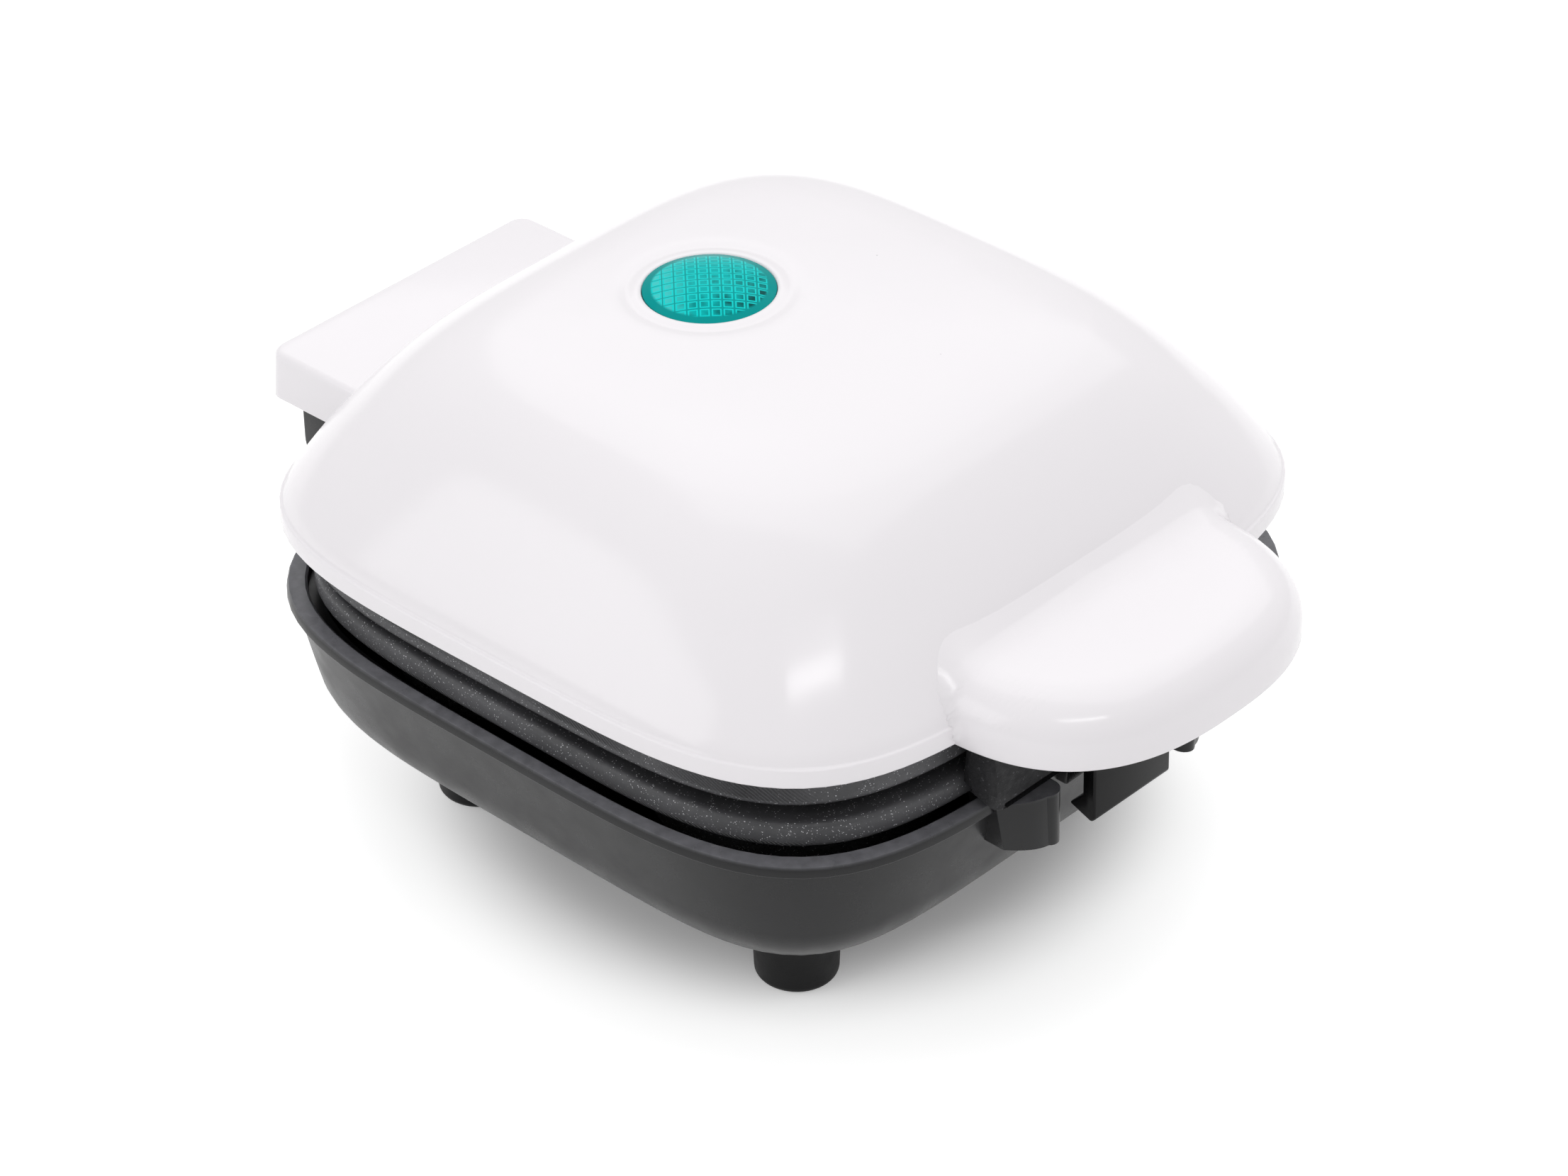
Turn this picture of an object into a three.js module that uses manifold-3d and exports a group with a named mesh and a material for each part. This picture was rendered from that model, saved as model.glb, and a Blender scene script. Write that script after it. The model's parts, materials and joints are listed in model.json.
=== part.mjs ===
// Egg bite maker: a countertop cooker with a hinged lid over two cup plates.
// Millimetres, +Z up. The front, with the handle, faces -Y. The lid rests slightly ajar.
// The origin is on the ground, under the middle of the whole appliance.

import * as THREE from 'three';
import { mergeVertices } from 'three/addons/utils/BufferGeometryUtils.js';
import Module from 'manifold-3d';

const wasm = await Module();
wasm.setup();

// Case: half width at the rims, walls and clearances
const caseHalf = 75;
const caseWall = 2.2;
const fit = 0.3;
const overrun = 1;
const squareness = 4.2;
const domeSquareness = 3.8;
const floorSquareness = 5.6;
const ringSides = 40;
const ringCrowding = 0.35;
const halfRingSides = ringSides / 2;

// Base
const footHeight = 16;
const bowlHeight = 32;
const bowlDraft = THREE.MathUtils.degToRad(16.5);
const bowlFillet = 19;
const lipHeight = 2.5;
const lipStep = 1.3;
const flangeWidth = 3.3;
const flangeThickness = 2.4;

// Lid
const lidGap = 13.3;
const bandHeight = 4.2;
const bandStep = 0.6;
const shoulderInset = 11.6;
const shoulderHeight = 21.1;
const crownInset = 35.5;
const crownHeight = 36.1;
const domeHeight = 36.8;
const restTilt = THREE.MathUtils.degToRad(1.2);

// Hinge
const hingeSetback = 11;
const hingeRise = 2;
const hingePinRadius = 2;
const knuckleRadius = 7;
const baseKnuckleHalf = 18.5;
const bracketClearance = 0.4;
const hingeBlockDrop = 26;
const coverHalf = 34;
const coverMargin = 4;
const coverTop = 6;
const coverDrop = 3.2;
const coverRadius = 3;
const bracketPlate = 2.6;
const bracketScrewReach = 10;

// Handle
const handleHalf = 37.5;
const handleReach = 28.5;
const handleRoot = 5;
const handleHeight = 12;
const handleFillet = 9;
const handleSteps = 20;
const handleSquareness = 2.55;
const handleWall = 2.5;

// Cup plates
const plateInset = 4.4;
const plateRise = 0.4;
const plateEdge = 5;
const plateThickness = 2.6;
const plateGap = 0.3;
const upperPlateEdge = 9.5;
const cupMargin = 11.6;
const cupWeb = 10;
const cupTaper = 3;
const cupWall = 2.2;
const upperCupDepth = 9;
const cupSides = 20;

// Fasteners
const screwInset = 22.6;
const screwRadius = 1.2;
const screwHeadRadius = 2.9;
const screwHeadHeight = 1.8;
const lowerBossLength = 10;
const lowerScrewRecess = 12;
const upperScrewGrip = 8;
const bossRadius = 3.6;
const postRadius = 5;
const boreClearance = 0.3;
const roundSides = 12;

// Heating
const tubeRadius = 3.2;
const heaterClearance = 0.5;
const heaterGapHalf = 9;
const reflectorSheet = 0.8;
const thermostatRadius = 8;
const thermostatHeight = 7;
const thermostatTab = 4;
const tabThickness = 0.8;
const leadClearance = 0.6;
const reflectorClearance = 1.2;
const lowerReflectorLip = 2;
const reflectorSlope = 9.7;
const reflectorFlange = 2.6;
const standoffGap = 4;
const standoffHeight = 2.8;
const fuseRadius = 2;
const fuseLength = 14;
const fuseSetback = 11.5;

// Indicator
const lensInset = 22.5;
const lensRadius = 11.7;
const lensSink = 0.8;
const lensCrown = 2.4;
const lensFlangeWidth = 2.1;
const lensFlangeThickness = 1.6;
const lensWall = 1.8;
const lensBossMargin = 1;
const lensBossHeight = 4.2;
const retainerCollar = 2.9;
const retainerLedge = 2.7;
const retainerThickness = 2;
const lampTube = 6;
const lampTubeLength = 10;
const lampRadius = 3;
const lampLength = 16;
const lampTipShare = 0.8;

// Latch
const clipHalf = 10.2;
const clipThickness = 2.8;
const clipPivotReach = 7;
const clipPivotDrop = 4;
const clipHub = 3;
const clipLength = 23.5;
const clipBarb = 3;
const clipBarbRise = 5;
const clipTipShares = { front: 0.3, barb: 0.7 };
const clipPinRadius = 1.4;
const insertMargin = 2;
const insertDepth = 2.7;
const insertBack = 2.7;
const insertCorner = 4;
const insertDrop = 16.1;
const insertPlate = 2;
const insertScrewReach = 24;
const insertScrewSetback = 9;
const earThickness = 2.8;
const earClearance = 0.9;

// Mains entry in the hinge block and the terminal block inside
const glandDrop = 18;
const glandRadius = 5;
const glandFlange = 6.5;
const glandFlangeThickness = 2.5;
const glandDepth = 8;
const glandBore = 1.9;
const cordHoleRadius = 3.4;
const terminalLength = 18;
const terminalDepth = 6;
const terminalHeight = 8;
const terminalClearance = 2.8;
const terminalOffset = 8;

// Lugs and catch under the front rim
const lugInner = 16;
const lugNose = 5;
const lugOuter = 28.4;
const lugReach = 5.8;
const lugHeight = 11;
const lugSlopeShares = { across: 0.4, out: 0.66 };
const catchHalf = 9;
const catchHeight = 6.8;

// Feet
const footRadius = 8.2;
const footTaper = 0.6;
const footMargin = 2.67;
const footNeck = 3;
const footHead = 4.3;
const footEdge = 1.4;
const footSides = 16;

// Derived places, measured from the ground and from the middle of the case
const rimZ = footHeight + bowlHeight;
const floorZ = footHeight + caseWall;
const hingeY = caseHalf + hingeSetback;
const hingeZ = rimZ + hingeRise;
const lidEdgeZ = rimZ + lidGap;
const plateHalf = caseHalf - plateInset;
const plateTopZ = rimZ + plateRise + plateEdge;
const upperPlateFace = plateTopZ + plateGap - lidEdgeZ;
const cupRadius = (plateHalf - cupMargin - cupWeb / 2) / 2;
const cupCentre = cupRadius + cupWeb / 2;
const screwReach = plateHalf - screwInset;
const bowlArcZ = footHeight + bowlFillet;
const bowlWallHalf = caseHalf - lipStep - (rimZ - lipHeight - bowlArcZ) * Math.tan(bowlDraft);
const bowlFloorHalf = bowlWallHalf - bowlFillet / Math.cos(bowlDraft);
const footReach = bowlFloorHalf - footMargin - footRadius;
const standoffReach = footReach - footHead - bossRadius - standoffGap;
const axisZ = hingeZ - lidEdgeZ;
const glandZ = rimZ - glandDrop;
const lowerUnderZ = plateTopZ - plateThickness;
const plateBossZ = lowerUnderZ - lowerBossLength;
const lowerScrewZ = footHeight + lowerScrewRecess;
const lowerReflectorZ = floorZ + standoffHeight;
const lowerReflectorHalf = screwReach - postRadius - reflectorClearance;
const upperReflectorHalf = plateHalf - fit - reflectorFlange - reflectorSlope;
const terminalSetback = lowerReflectorHalf + terminalClearance;
const lowerHeaterZ = lowerReflectorZ + lowerReflectorLip + heaterClearance + tubeRadius;
const lowerCupDepth = plateTopZ - cupWall - fit - tubeRadius - lowerHeaterZ;
const upperOver = upperPlateFace + plateThickness;
const upperHeaterZ = upperPlateFace + upperCupDepth + cupWall + fit + tubeRadius;
const upperBossTop = upperHeaterZ + tubeRadius + fit;
const upperReflectorZ = upperBossTop + fit;
const upperSkirtTop = upperPlateFace + upperPlateEdge;
const upperScrewTip = upperReflectorZ + upperScrewGrip;
const insertBottom = fit;
const insertTop = insertBottom + insertPlate;
const insertScrewY = -caseHalf - insertScrewSetback;
const insertScrewTip = handleHeight - handleWall - fit;
const bracketTop = coverTop - caseWall - fit;
const bracketScrewTip = coverTop - caseWall / 2;
const clipPivotY = -caseHalf - clipPivotReach;
const insertHalf = handleHalf - handleWall - insertMargin;
const coverFront = caseHalf - caseWall;
const coverBack = hingeY + knuckleRadius + coverMargin + caseWall;
const lidKnuckleOuter = coverHalf - caseWall - bracketClearance;
const lensSetback = caseHalf - crownInset - lensInset;
const lensFlange = lensRadius + lensFlangeWidth;
const retainerRadius = lensFlange + fit + retainerCollar;
const retainerBore = lensRadius - retainerLedge;
const domeRise = shoulderHeight - bandHeight - bandStep;
const wallLean = Math.atan2(shoulderInset - bandStep, domeRise);

const black = new THREE.Color(0.035, 0.035, 0.038);
const finishes = {
  white: new THREE.MeshStandardMaterial({ color: 0xf2f0f2, roughness: 0.22, metalness: 0 }),
  satin: new THREE.MeshStandardMaterial({ color: black, roughness: 0.42, metalness: 0 }),
  rough: new THREE.MeshStandardMaterial({ color: 0x1b1b1d, roughness: 0.7, metalness: 0 }),
  rubber: new THREE.MeshStandardMaterial({ color: 0x131314, roughness: 0.55, metalness: 0 }),
  nonstick: new THREE.MeshStandardMaterial({ color: 0x2b2b2d, roughness: 0.5, metalness: 0.3 }),
  aluminium: new THREE.MeshStandardMaterial({ color: 0xb9babc, roughness: 0.4, metalness: 1 }),
  steel: new THREE.MeshStandardMaterial({ color: 0x8d8f92, roughness: 0.35, metalness: 1 }),
  teal: new THREE.MeshStandardMaterial({ color: 0x00b5ac, roughness: 0.12, metalness: 0 }),
  ceramic: new THREE.MeshStandardMaterial({ color: 0xe4ded2, roughness: 0.6, metalness: 0 }),
  glass: new THREE.MeshStandardMaterial({ color: 0xffb38a, roughness: 0.1, metalness: 0 }),
};

const appliance = new THREE.Group();
const lidHinge = new THREE.Group();
lidHinge.position.set(0, hingeY, hingeZ);
lidHinge.rotation.x = -restTilt;
const lid = new THREE.Group();
lid.position.set(0, -hingeY, -axisZ);
lidHinge.add(lid);
appliance.add(lidHinge);

// A closed geometry as a solid that can be joined and cut
function solidOf(geometry) {
  const bare = geometry.clone();
  bare.deleteAttribute('normal');
  bare.deleteAttribute('uv');
  const merged = mergeVertices(bare);
  const index = merged.index.array;
  const corners = [];
  for (let i = 0; i < index.length; i += 3) {
    const [a, b, c] = [index[i], index[i + 1], index[i + 2]];
    if (a !== b && b !== c && c !== a) corners.push(a, b, c);
  }
  const vertProperties = new Float32Array(merged.attributes.position.array);
  const triVerts = new Uint32Array(corners);
  return new wasm.Manifold(new wasm.Mesh({ numProp: 3, vertProperties, triVerts }));
}

function piece(name, solid, finish, parent = appliance) {
  const made = solid.getMesh();
  const geometry = new THREE.BufferGeometry();
  geometry.setAttribute('position', new THREE.BufferAttribute(made.vertProperties, 3));
  geometry.setIndex(new THREE.BufferAttribute(made.triVerts, 1));
  geometry.computeVertexNormals();
  const mesh = new THREE.Mesh(geometry, finish);
  mesh.name = name;
  parent.add(mesh);
  return mesh;
}

const joined = (first, ...others) => others.reduce((sum, next) => sum.add(next), first);
const cut = (first, ...others) => others.reduce((rest, next) => rest.subtract(next), first);

// A turned shape about Z from points of radius and height, outer side going up
function turned(points, sides = roundSides) {
  const profile = points.map(([radius, height]) => new THREE.Vector2(radius, height));
  const geometry = new THREE.LatheGeometry(profile, sides);
  geometry.rotateX(Math.PI / 2);
  return geometry;
}

// How far a squircle of half width 1 reaches in a direction
function squircle(angle, power) {
  const across = Math.abs(Math.cos(angle)) ** power;
  const along = Math.abs(Math.sin(angle)) ** power;
  return (across + along) ** (-1 / power);
}

// A turned shape pressed out to a rounded square, whose power may change with height.
// The ring's sides are gathered towards its four corners.
function squared(points, powerAt = () => squareness) {
  const geometry = turned(points, ringSides);
  const place = geometry.attributes.position;
  for (let i = 0; i < place.count; i += 1) {
    const even = Math.atan2(place.getY(i), place.getX(i));
    const angle = even + ringCrowding * Math.sin(4 * even) / 4;
    const radius = Math.hypot(place.getX(i), place.getY(i)) * squircle(angle, powerAt(place.getZ(i)));
    place.setXY(i, radius * Math.cos(angle), radius * Math.sin(angle));
  }
  return solidOf(geometry);
}

function cylinder(radius, bottom, top, x = 0, y = 0, sides = roundSides) {
  const geometry = turned([[0, bottom], [radius, bottom], [radius, top], [0, top]], sides);
  geometry.translate(x, y, 0);
  return solidOf(geometry);
}

// A round bar along X
function barX(radius, left, right, y, z, sides = roundSides) {
  const geometry = new THREE.CylinderGeometry(radius, radius, right - left, sides);
  geometry.rotateZ(Math.PI / 2);
  geometry.translate((left + right) / 2, y, z);
  return solidOf(geometry);
}

// A round bar along Y
function barY(radius, front, back, x, z, sides = roundSides) {
  const geometry = new THREE.CylinderGeometry(radius, radius, back - front, sides);
  geometry.translate(x, (front + back) / 2, z);
  return solidOf(geometry);
}

function block(x0, x1, y0, y1, z0, z1) {
  const geometry = new THREE.BoxGeometry(x1 - x0, y1 - y0, z1 - z0);
  geometry.translate((x0 + x1) / 2, (y0 + y1) / 2, (z0 + z1) / 2);
  return solidOf(geometry);
}

// An outline in plan, raised from bottom to top
function plan(points, bottom, top) {
  const shape = new THREE.Shape(points.map(([x, y]) => new THREE.Vector2(x, y)));
  const geometry = new THREE.ExtrudeGeometry(shape, { depth: top - bottom, bevelEnabled: false });
  geometry.translate(0, 0, bottom);
  return solidOf(geometry);
}

// An outline of depth and height seen from the side, drawn out along X
function side(points, left, right) {
  const shape = new THREE.Shape(points.map(([y, z]) => new THREE.Vector2(y, z)));
  const geometry = new THREE.ExtrudeGeometry(shape, { depth: right - left, bevelEnabled: false });
  geometry.rotateX(Math.PI / 2);
  geometry.rotateZ(Math.PI / 2);
  geometry.translate(left, 0, 0);
  return solidOf(geometry);
}

function pathPoints(path, divisions) {
  return path.getPoints(divisions).map((point) => [point.x, point.y]);
}

const quarterTurns = [0, 1, 2, 3].map((turn) => turn * Math.PI / 2);
const screwPlaces = quarterTurns.map((turn) => [
  Math.round(Math.cos(turn)) * screwReach,
  Math.round(Math.sin(turn)) * screwReach,
]);
const cornerSigns = [[-1, -1], [1, -1], [-1, 1], [1, 1]];
const sideNames = ['right', 'rear', 'left', 'front'];
const cornerNames = ['front_left', 'front_right', 'rear_left', 'rear_right'];

// Base bowl: outer wall with a rounded foot, and the rim lip above it
function bowlPath(inset) {
  const arcHalf = bowlFloorHalf - inset + inset / Math.cos(bowlDraft);
  const path = new THREE.Path();
  path.moveTo(0, footHeight + inset);
  path.lineTo(arcHalf, footHeight + inset);
  path.absarc(arcHalf, bowlArcZ, bowlFillet - inset, -Math.PI / 2, -bowlDraft, false);
  path.lineTo(caseHalf - lipStep - inset, rimZ - lipHeight);
  return path;
}

// The bowl is squarer at its floor than at its rim
function bowlPower(height) {
  const wallHeight = bowlHeight - lipHeight;
  const rise = THREE.MathUtils.clamp((height - footHeight) / wallHeight, 0, 1);
  return THREE.MathUtils.lerp(floorSquareness, squareness, rise);
}

// A lug's outline in plan: a slanted flank that runs out to a narrow nose beside the latch
function lugOutline(sign) {
  const noseOuter = lugInner + lugNose;
  const front = -caseHalf - lugReach;
  const back = -caseHalf + lugReach;
  const slopeX = THREE.MathUtils.lerp(noseOuter, lugOuter, lugSlopeShares.across);
  const outline = [
    [lugOuter, back],
    [lugOuter, -caseHalf - fit],
    [slopeX, -caseHalf - lugReach * lugSlopeShares.out],
    [noseOuter, front],
    [lugInner, front],
    [lugInner, back],
  ].map(([x, y]) => [sign * x, y]);
  return sign > 0 ? outline.reverse() : outline;
}

function makeBase() {
  const outer = pathPoints(bowlPath(0), 3);
  outer.push([caseHalf - fit, rimZ - lipHeight], [caseHalf, rimZ], [0, rimZ]);
  const inner = pathPoints(bowlPath(caseWall), 3);
  const flangeHalf = caseHalf - flangeWidth;
  inner.push([flangeHalf - flangeThickness, rimZ - lipHeight]);
  inner.push([flangeHalf, rimZ - flangeThickness], [flangeHalf, rimZ + overrun], [0, rimZ + overrun]);

  const block0 = rimZ - hingeBlockDrop;
  const blockFront = caseHalf - bowlFillet;
  const web = block(-baseKnuckleHalf, baseKnuckleHalf, blockFront, hingeY, block0, rimZ);
  const barrel = barX(knuckleRadius, -baseKnuckleHalf, baseKnuckleHalf, hingeY, hingeZ, halfRingSides);
  const lugs = [-1, 1].map((sign) => plan(lugOutline(sign), rimZ - lugHeight, rimZ));
  const catchBack = -caseHalf + lugReach;
  const catchBar = block(
    -catchHalf, catchHalf, -caseHalf + fit / 3, catchBack, rimZ - catchHeight, rimZ - lipHeight / 2,
  );
  const body = joined(squared(outer, bowlPower), web, barrel, ...lugs, catchBar);

  const posts = screwPlaces.map(([x, y]) => cylinder(postRadius, floorZ - fit, plateBossZ - fit, x, y));
  const standoffs = cornerSigns.map(([sx, sy]) => (
    cylinder(bossRadius, floorZ - fit, lowerReflectorZ, sx * standoffReach, sy * standoffReach)
  ));
  const bowl = joined(cut(body, squared(inner, bowlPower)), ...posts, ...standoffs);

  const shankHole = screwRadius + boreClearance;
  const headHole = screwHeadRadius + boreClearance;
  const screwHoles = screwPlaces.flatMap(([x, y]) => [
    cylinder(shankHole, footHeight - overrun, plateBossZ + overrun, x, y),
    cylinder(headHole, footHeight - overrun, lowerScrewZ, x, y),
  ]);
  const footHoles = cornerSigns.map(([sx, sy]) => (
    cylinder(footNeck + fit, footHeight - overrun, floorZ + overrun, sx * footReach, sy * footReach)
  ));
  const pinHole = barX(
    hingePinRadius + boreClearance, -caseHalf, caseHalf, hingeY, hingeZ,
  );
  const cordHole = barY(cordHoleRadius, caseHalf - bowlFillet - overrun, hingeY + overrun, 0, glandZ);
  const glandSeat = barY(glandRadius + fit, hingeY - glandDepth - fit, hingeY + overrun, 0, glandZ);
  return cut(bowl, ...screwHoles, ...footHoles, pinHole, cordHole, glandSeat);
}

// Lower plate: an open-backed pan with four cups and four screw bosses
function cupSolid(radius, face, depth, direction) {
  const rounding = radius / 4;
  const floorRadius = radius - cupTaper;
  const far = face + direction * depth;
  const points = [
    [0, far],
    [floorRadius - rounding, far],
    [floorRadius, far - direction * rounding],
    [radius, face],
    [0, face],
  ];
  return turned(direction < 0 ? points : points.reverse(), cupSides);
}

function cups(radius, face, depth, direction) {
  return cornerSigns.map(([sx, sy]) => {
    const geometry = cupSolid(radius, face, depth, direction);
    geometry.translate(sx * cupCentre, sy * cupCentre, 0);
    return solidOf(geometry);
  });
}

// A cup that starts a little outside the face, so that it cuts right through it
function cupCuts(face, depth, direction) {
  const lift = fit;
  const flare = lift * cupTaper / depth;
  return cups(cupRadius + flare, face - direction * lift, depth + lift, direction);
}

function makeLowerPlate() {
  const bottom = rimZ + plateRise;
  const rounding = plateEdge / 4;
  const outer = [
    [0, bottom], [plateHalf, bottom], [plateHalf, plateTopZ - rounding],
    [plateHalf - rounding, plateTopZ], [0, plateTopZ],
  ];
  const under = lowerUnderZ;
  const hollow = [
    [0, bottom - overrun], [plateHalf - plateThickness, bottom - overrun],
    [plateHalf - plateThickness, under], [0, under],
  ];
  const pan = cut(squared(outer), squared(hollow));
  const outerDepth = lowerCupDepth + cupWall - plateThickness;
  const shells = cups(cupRadius + cupWall, under + fit, outerDepth + fit, -1);
  const bosses = screwPlaces.map(([x, y]) => cylinder(bossRadius, plateBossZ, under + fit, x, y));
  const pilots = screwPlaces.map(([x, y]) => (
    cylinder(screwRadius + boreClearance, plateBossZ - overrun, under - fit, x, y)
  ));
  return cut(joined(pan, ...shells, ...bosses), ...cupCuts(plateTopZ, lowerCupDepth, -1), ...pilots);
}

function screwWithHead(x, y, headZ, headDirection, tipZ) {
  const low = Math.min(headZ, tipZ);
  const high = Math.max(headZ, tipZ);
  const headFar = headZ + headDirection * screwHeadHeight;
  const shank = cylinder(screwRadius, low, high, x, y, roundSides / 2);
  const head = cylinder(screwHeadRadius, Math.min(headZ, headFar), Math.max(headZ, headFar), x, y);
  return joined(shank, head);
}

// Upper plate, in the lid's frame: faces down, with shallow cups and a taller skirt
function makeUpperPlate() {
  const face = upperPlateFace;
  const rounding = plateEdge / 5;
  const outer = [
    [0, face], [plateHalf - rounding, face], [plateHalf, face + rounding],
    [plateHalf, upperSkirtTop], [0, upperSkirtTop],
  ];
  const over = face + plateThickness;
  const hollow = [
    [0, over], [plateHalf - plateThickness, over],
    [plateHalf - plateThickness, upperSkirtTop + overrun], [0, upperSkirtTop + overrun],
  ];
  const pan = cut(squared(outer), squared(hollow));
  const outerDepth = upperCupDepth + cupWall - plateThickness;
  const shells = cups(cupRadius + cupWall, over - fit, outerDepth + fit, 1);
  const bosses = screwPlaces.map(([x, y]) => cylinder(bossRadius, over - fit, upperBossTop, x, y));
  const holes = screwPlaces.flatMap(([x, y]) => [
    cylinder(screwRadius + boreClearance, face - overrun, upperBossTop + overrun, x, y),
    cylinder(screwHeadRadius + boreClearance, face - overrun, face + screwHeadHeight + fit, x, y),
  ]);
  return cut(joined(pan, ...shells, ...bosses), ...cupCuts(face, upperCupDepth, 1), ...holes);
}

// Lid: a domed cover with a hollow handle at the front and a hinge cover at the rear
function domePath() {
  const path = new THREE.Path();
  path.moveTo(caseHalf, 0);
  path.lineTo(caseHalf, bandHeight);
  path.lineTo(caseHalf - bandStep, bandHeight + bandStep);
  path.lineTo(caseHalf - shoulderInset, shoulderHeight);
  path.quadraticCurveTo(
    caseHalf - shoulderInset - (crownHeight - shoulderHeight) * Math.tan(wallLean),
    crownHeight,
    caseHalf - crownInset,
    crownHeight,
  );
  path.quadraticCurveTo((caseHalf - crownInset) / 2, domeHeight, 0, domeHeight);
  return path;
}

function domePower(height) {
  const rise = THREE.MathUtils.clamp((height - bandHeight) / (shoulderHeight - bandHeight), 0, 1);
  return THREE.MathUtils.lerp(squareness, domeSquareness, rise);
}

// The same outline moved inwards by a wall
function insetPoints(points, wall) {
  return points.map(([radius, height], i) => {
    const before = points[Math.max(i - 1, 0)];
    const after = points[Math.min(i + 1, points.length - 1)];
    const along = new THREE.Vector2(after[0] - before[0], after[1] - before[1]).normalize();
    return [Math.max(radius - along.y * wall, 0), height + along.x * wall];
  });
}

function domeHeightAt(reach) {
  const points = pathPoints(domePath(), 8);
  const next = points.findIndex(([radius]) => radius < reach);
  const [outer, inner] = [points[next - 1], points[next]];
  const share = (outer[0] - reach) / (outer[0] - inner[0]);
  return THREE.MathUtils.lerp(outer[1], inner[1], share);
}

function handleOutline(inset, back) {
  const half = handleHalf - inset;
  const depth = handleRoot + handleReach - inset;
  const front = [];
  for (let i = 0; i <= handleSteps; i += 1) {
    const angle = Math.PI * i / handleSteps;
    const across = Math.sign(Math.cos(angle)) * Math.abs(Math.cos(angle)) ** (2 / handleSquareness);
    const along = Math.abs(Math.sin(angle)) ** (2 / handleSquareness);
    front.push([-half * across, -caseHalf + handleRoot - depth * along]);
  }
  return [...front, [half, back], [-half, back]];
}

// The handle's form: upright sides and a wide rounding up to a flat top
function handleForm(inset, bottom, top, rounding) {
  const back = -caseHalf + shoulderInset + rounding;
  const outline = handleOutline(inset, back).map(([x, y]) => new THREE.Vector2(x, y));
  const geometry = new THREE.ExtrudeGeometry(new THREE.Shape(outline), {
    depth: top - bottom - rounding,
    bevelThickness: rounding,
    bevelSize: rounding,
    bevelOffset: -rounding,
    bevelSegments: 3,
  });
  geometry.translate(0, 0, bottom);
  const below = block(-caseHalf, caseHalf, -2 * caseHalf, 0, bottom - 2 * rounding, bottom);
  return cut(solidOf(geometry), below);
}

function coverForm(inset, bottom, top) {
  const half = coverHalf - inset;
  const back = coverBack - inset;
  const radius = coverRadius - inset;
  const shape = new THREE.Shape();
  shape.moveTo(-half, coverFront + inset * 2);
  shape.lineTo(half, coverFront + inset * 2);
  shape.lineTo(half, back - radius);
  shape.absarc(half - radius, back - radius, radius, 0, Math.PI / 2, false);
  shape.lineTo(radius - half, back);
  shape.absarc(radius - half, back - radius, radius, Math.PI / 2, Math.PI, false);
  const points = shape.getPoints(3).map((point) => [point.x, point.y]);
  return plan(points, bottom, top);
}

function makeLid() {
  const outline = pathPoints(domePath(), 5);
  const dome = squared([[0, 0], ...outline], domePower);
  const cavityOutline = insetPoints(outline, caseWall);
  cavityOutline[0] = [caseHalf - caseWall, -overrun];
  const cavity = squared([[0, -overrun], ...cavityOutline], domePower);

  const handle = handleForm(0, 0, handleHeight, handleFillet);
  const innerTop = handleHeight - handleWall;
  const handleInside = handleForm(handleWall, -overrun, innerTop, handleFillet - handleWall);
  const handleHollow = cut(handleInside, dome);
  const cover = coverForm(0, -coverDrop, coverTop);
  const coverHollow = coverForm(caseWall, -coverDrop - overrun, coverTop - caseWall);

  const skin = domeHeightAt(lensSetback);
  const ledge = skin - lensBossHeight;
  const bossReach = retainerRadius + lensBossMargin;
  const lensBoss = cylinder(bossReach, ledge, skin - caseWall / 2, 0, lensSetback, halfRingSides);
  const postBottom = upperReflectorZ + reflectorSheet + fit;
  const postTop = domeHeightAt(screwReach);
  const posts = screwPlaces.map(([x, y]) => (
    cylinder(postRadius, postBottom, postTop, x, y).intersect(dome)
  ));
  const insertPostTop = handleHeight - handleWall / 2;
  const insertPosts = [-1, 1].map((sign) => (
    cylinder(bossRadius, insertTop + fit, insertPostTop, sign * insertScrewReach, insertScrewY)
  ));
  const hollowed = cut(joined(dome, handle, cover), cavity, handleHollow, coverHollow);
  const shell = joined(hollowed, lensBoss, ...posts, ...insertPosts);

  const pilot = screwRadius + boreClearance;
  const pilots = screwPlaces.map(([x, y]) => cylinder(pilot, upperReflectorZ, upperScrewTip + fit, x, y));
  const insertPilots = [-1, 1].map((sign) => (
    cylinder(pilot, 0, insertScrewTip + fit, sign * insertScrewReach, insertScrewY)
  ));
  const coverPilots = [-1, 1].map((sign) => (
    cylinder(pilot, 0, bracketScrewTip + fit, sign * bracketScrewReach, hingeY)
  ));
  const hole = lensRadius + fit;
  const lensCut = cylinder(hole, ledge - overrun, skin + overrun, 0, lensSetback, halfRingSides);
  return cut(shell, ...pilots, ...insertPilots, ...coverPilots, lensCut);
}

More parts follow.
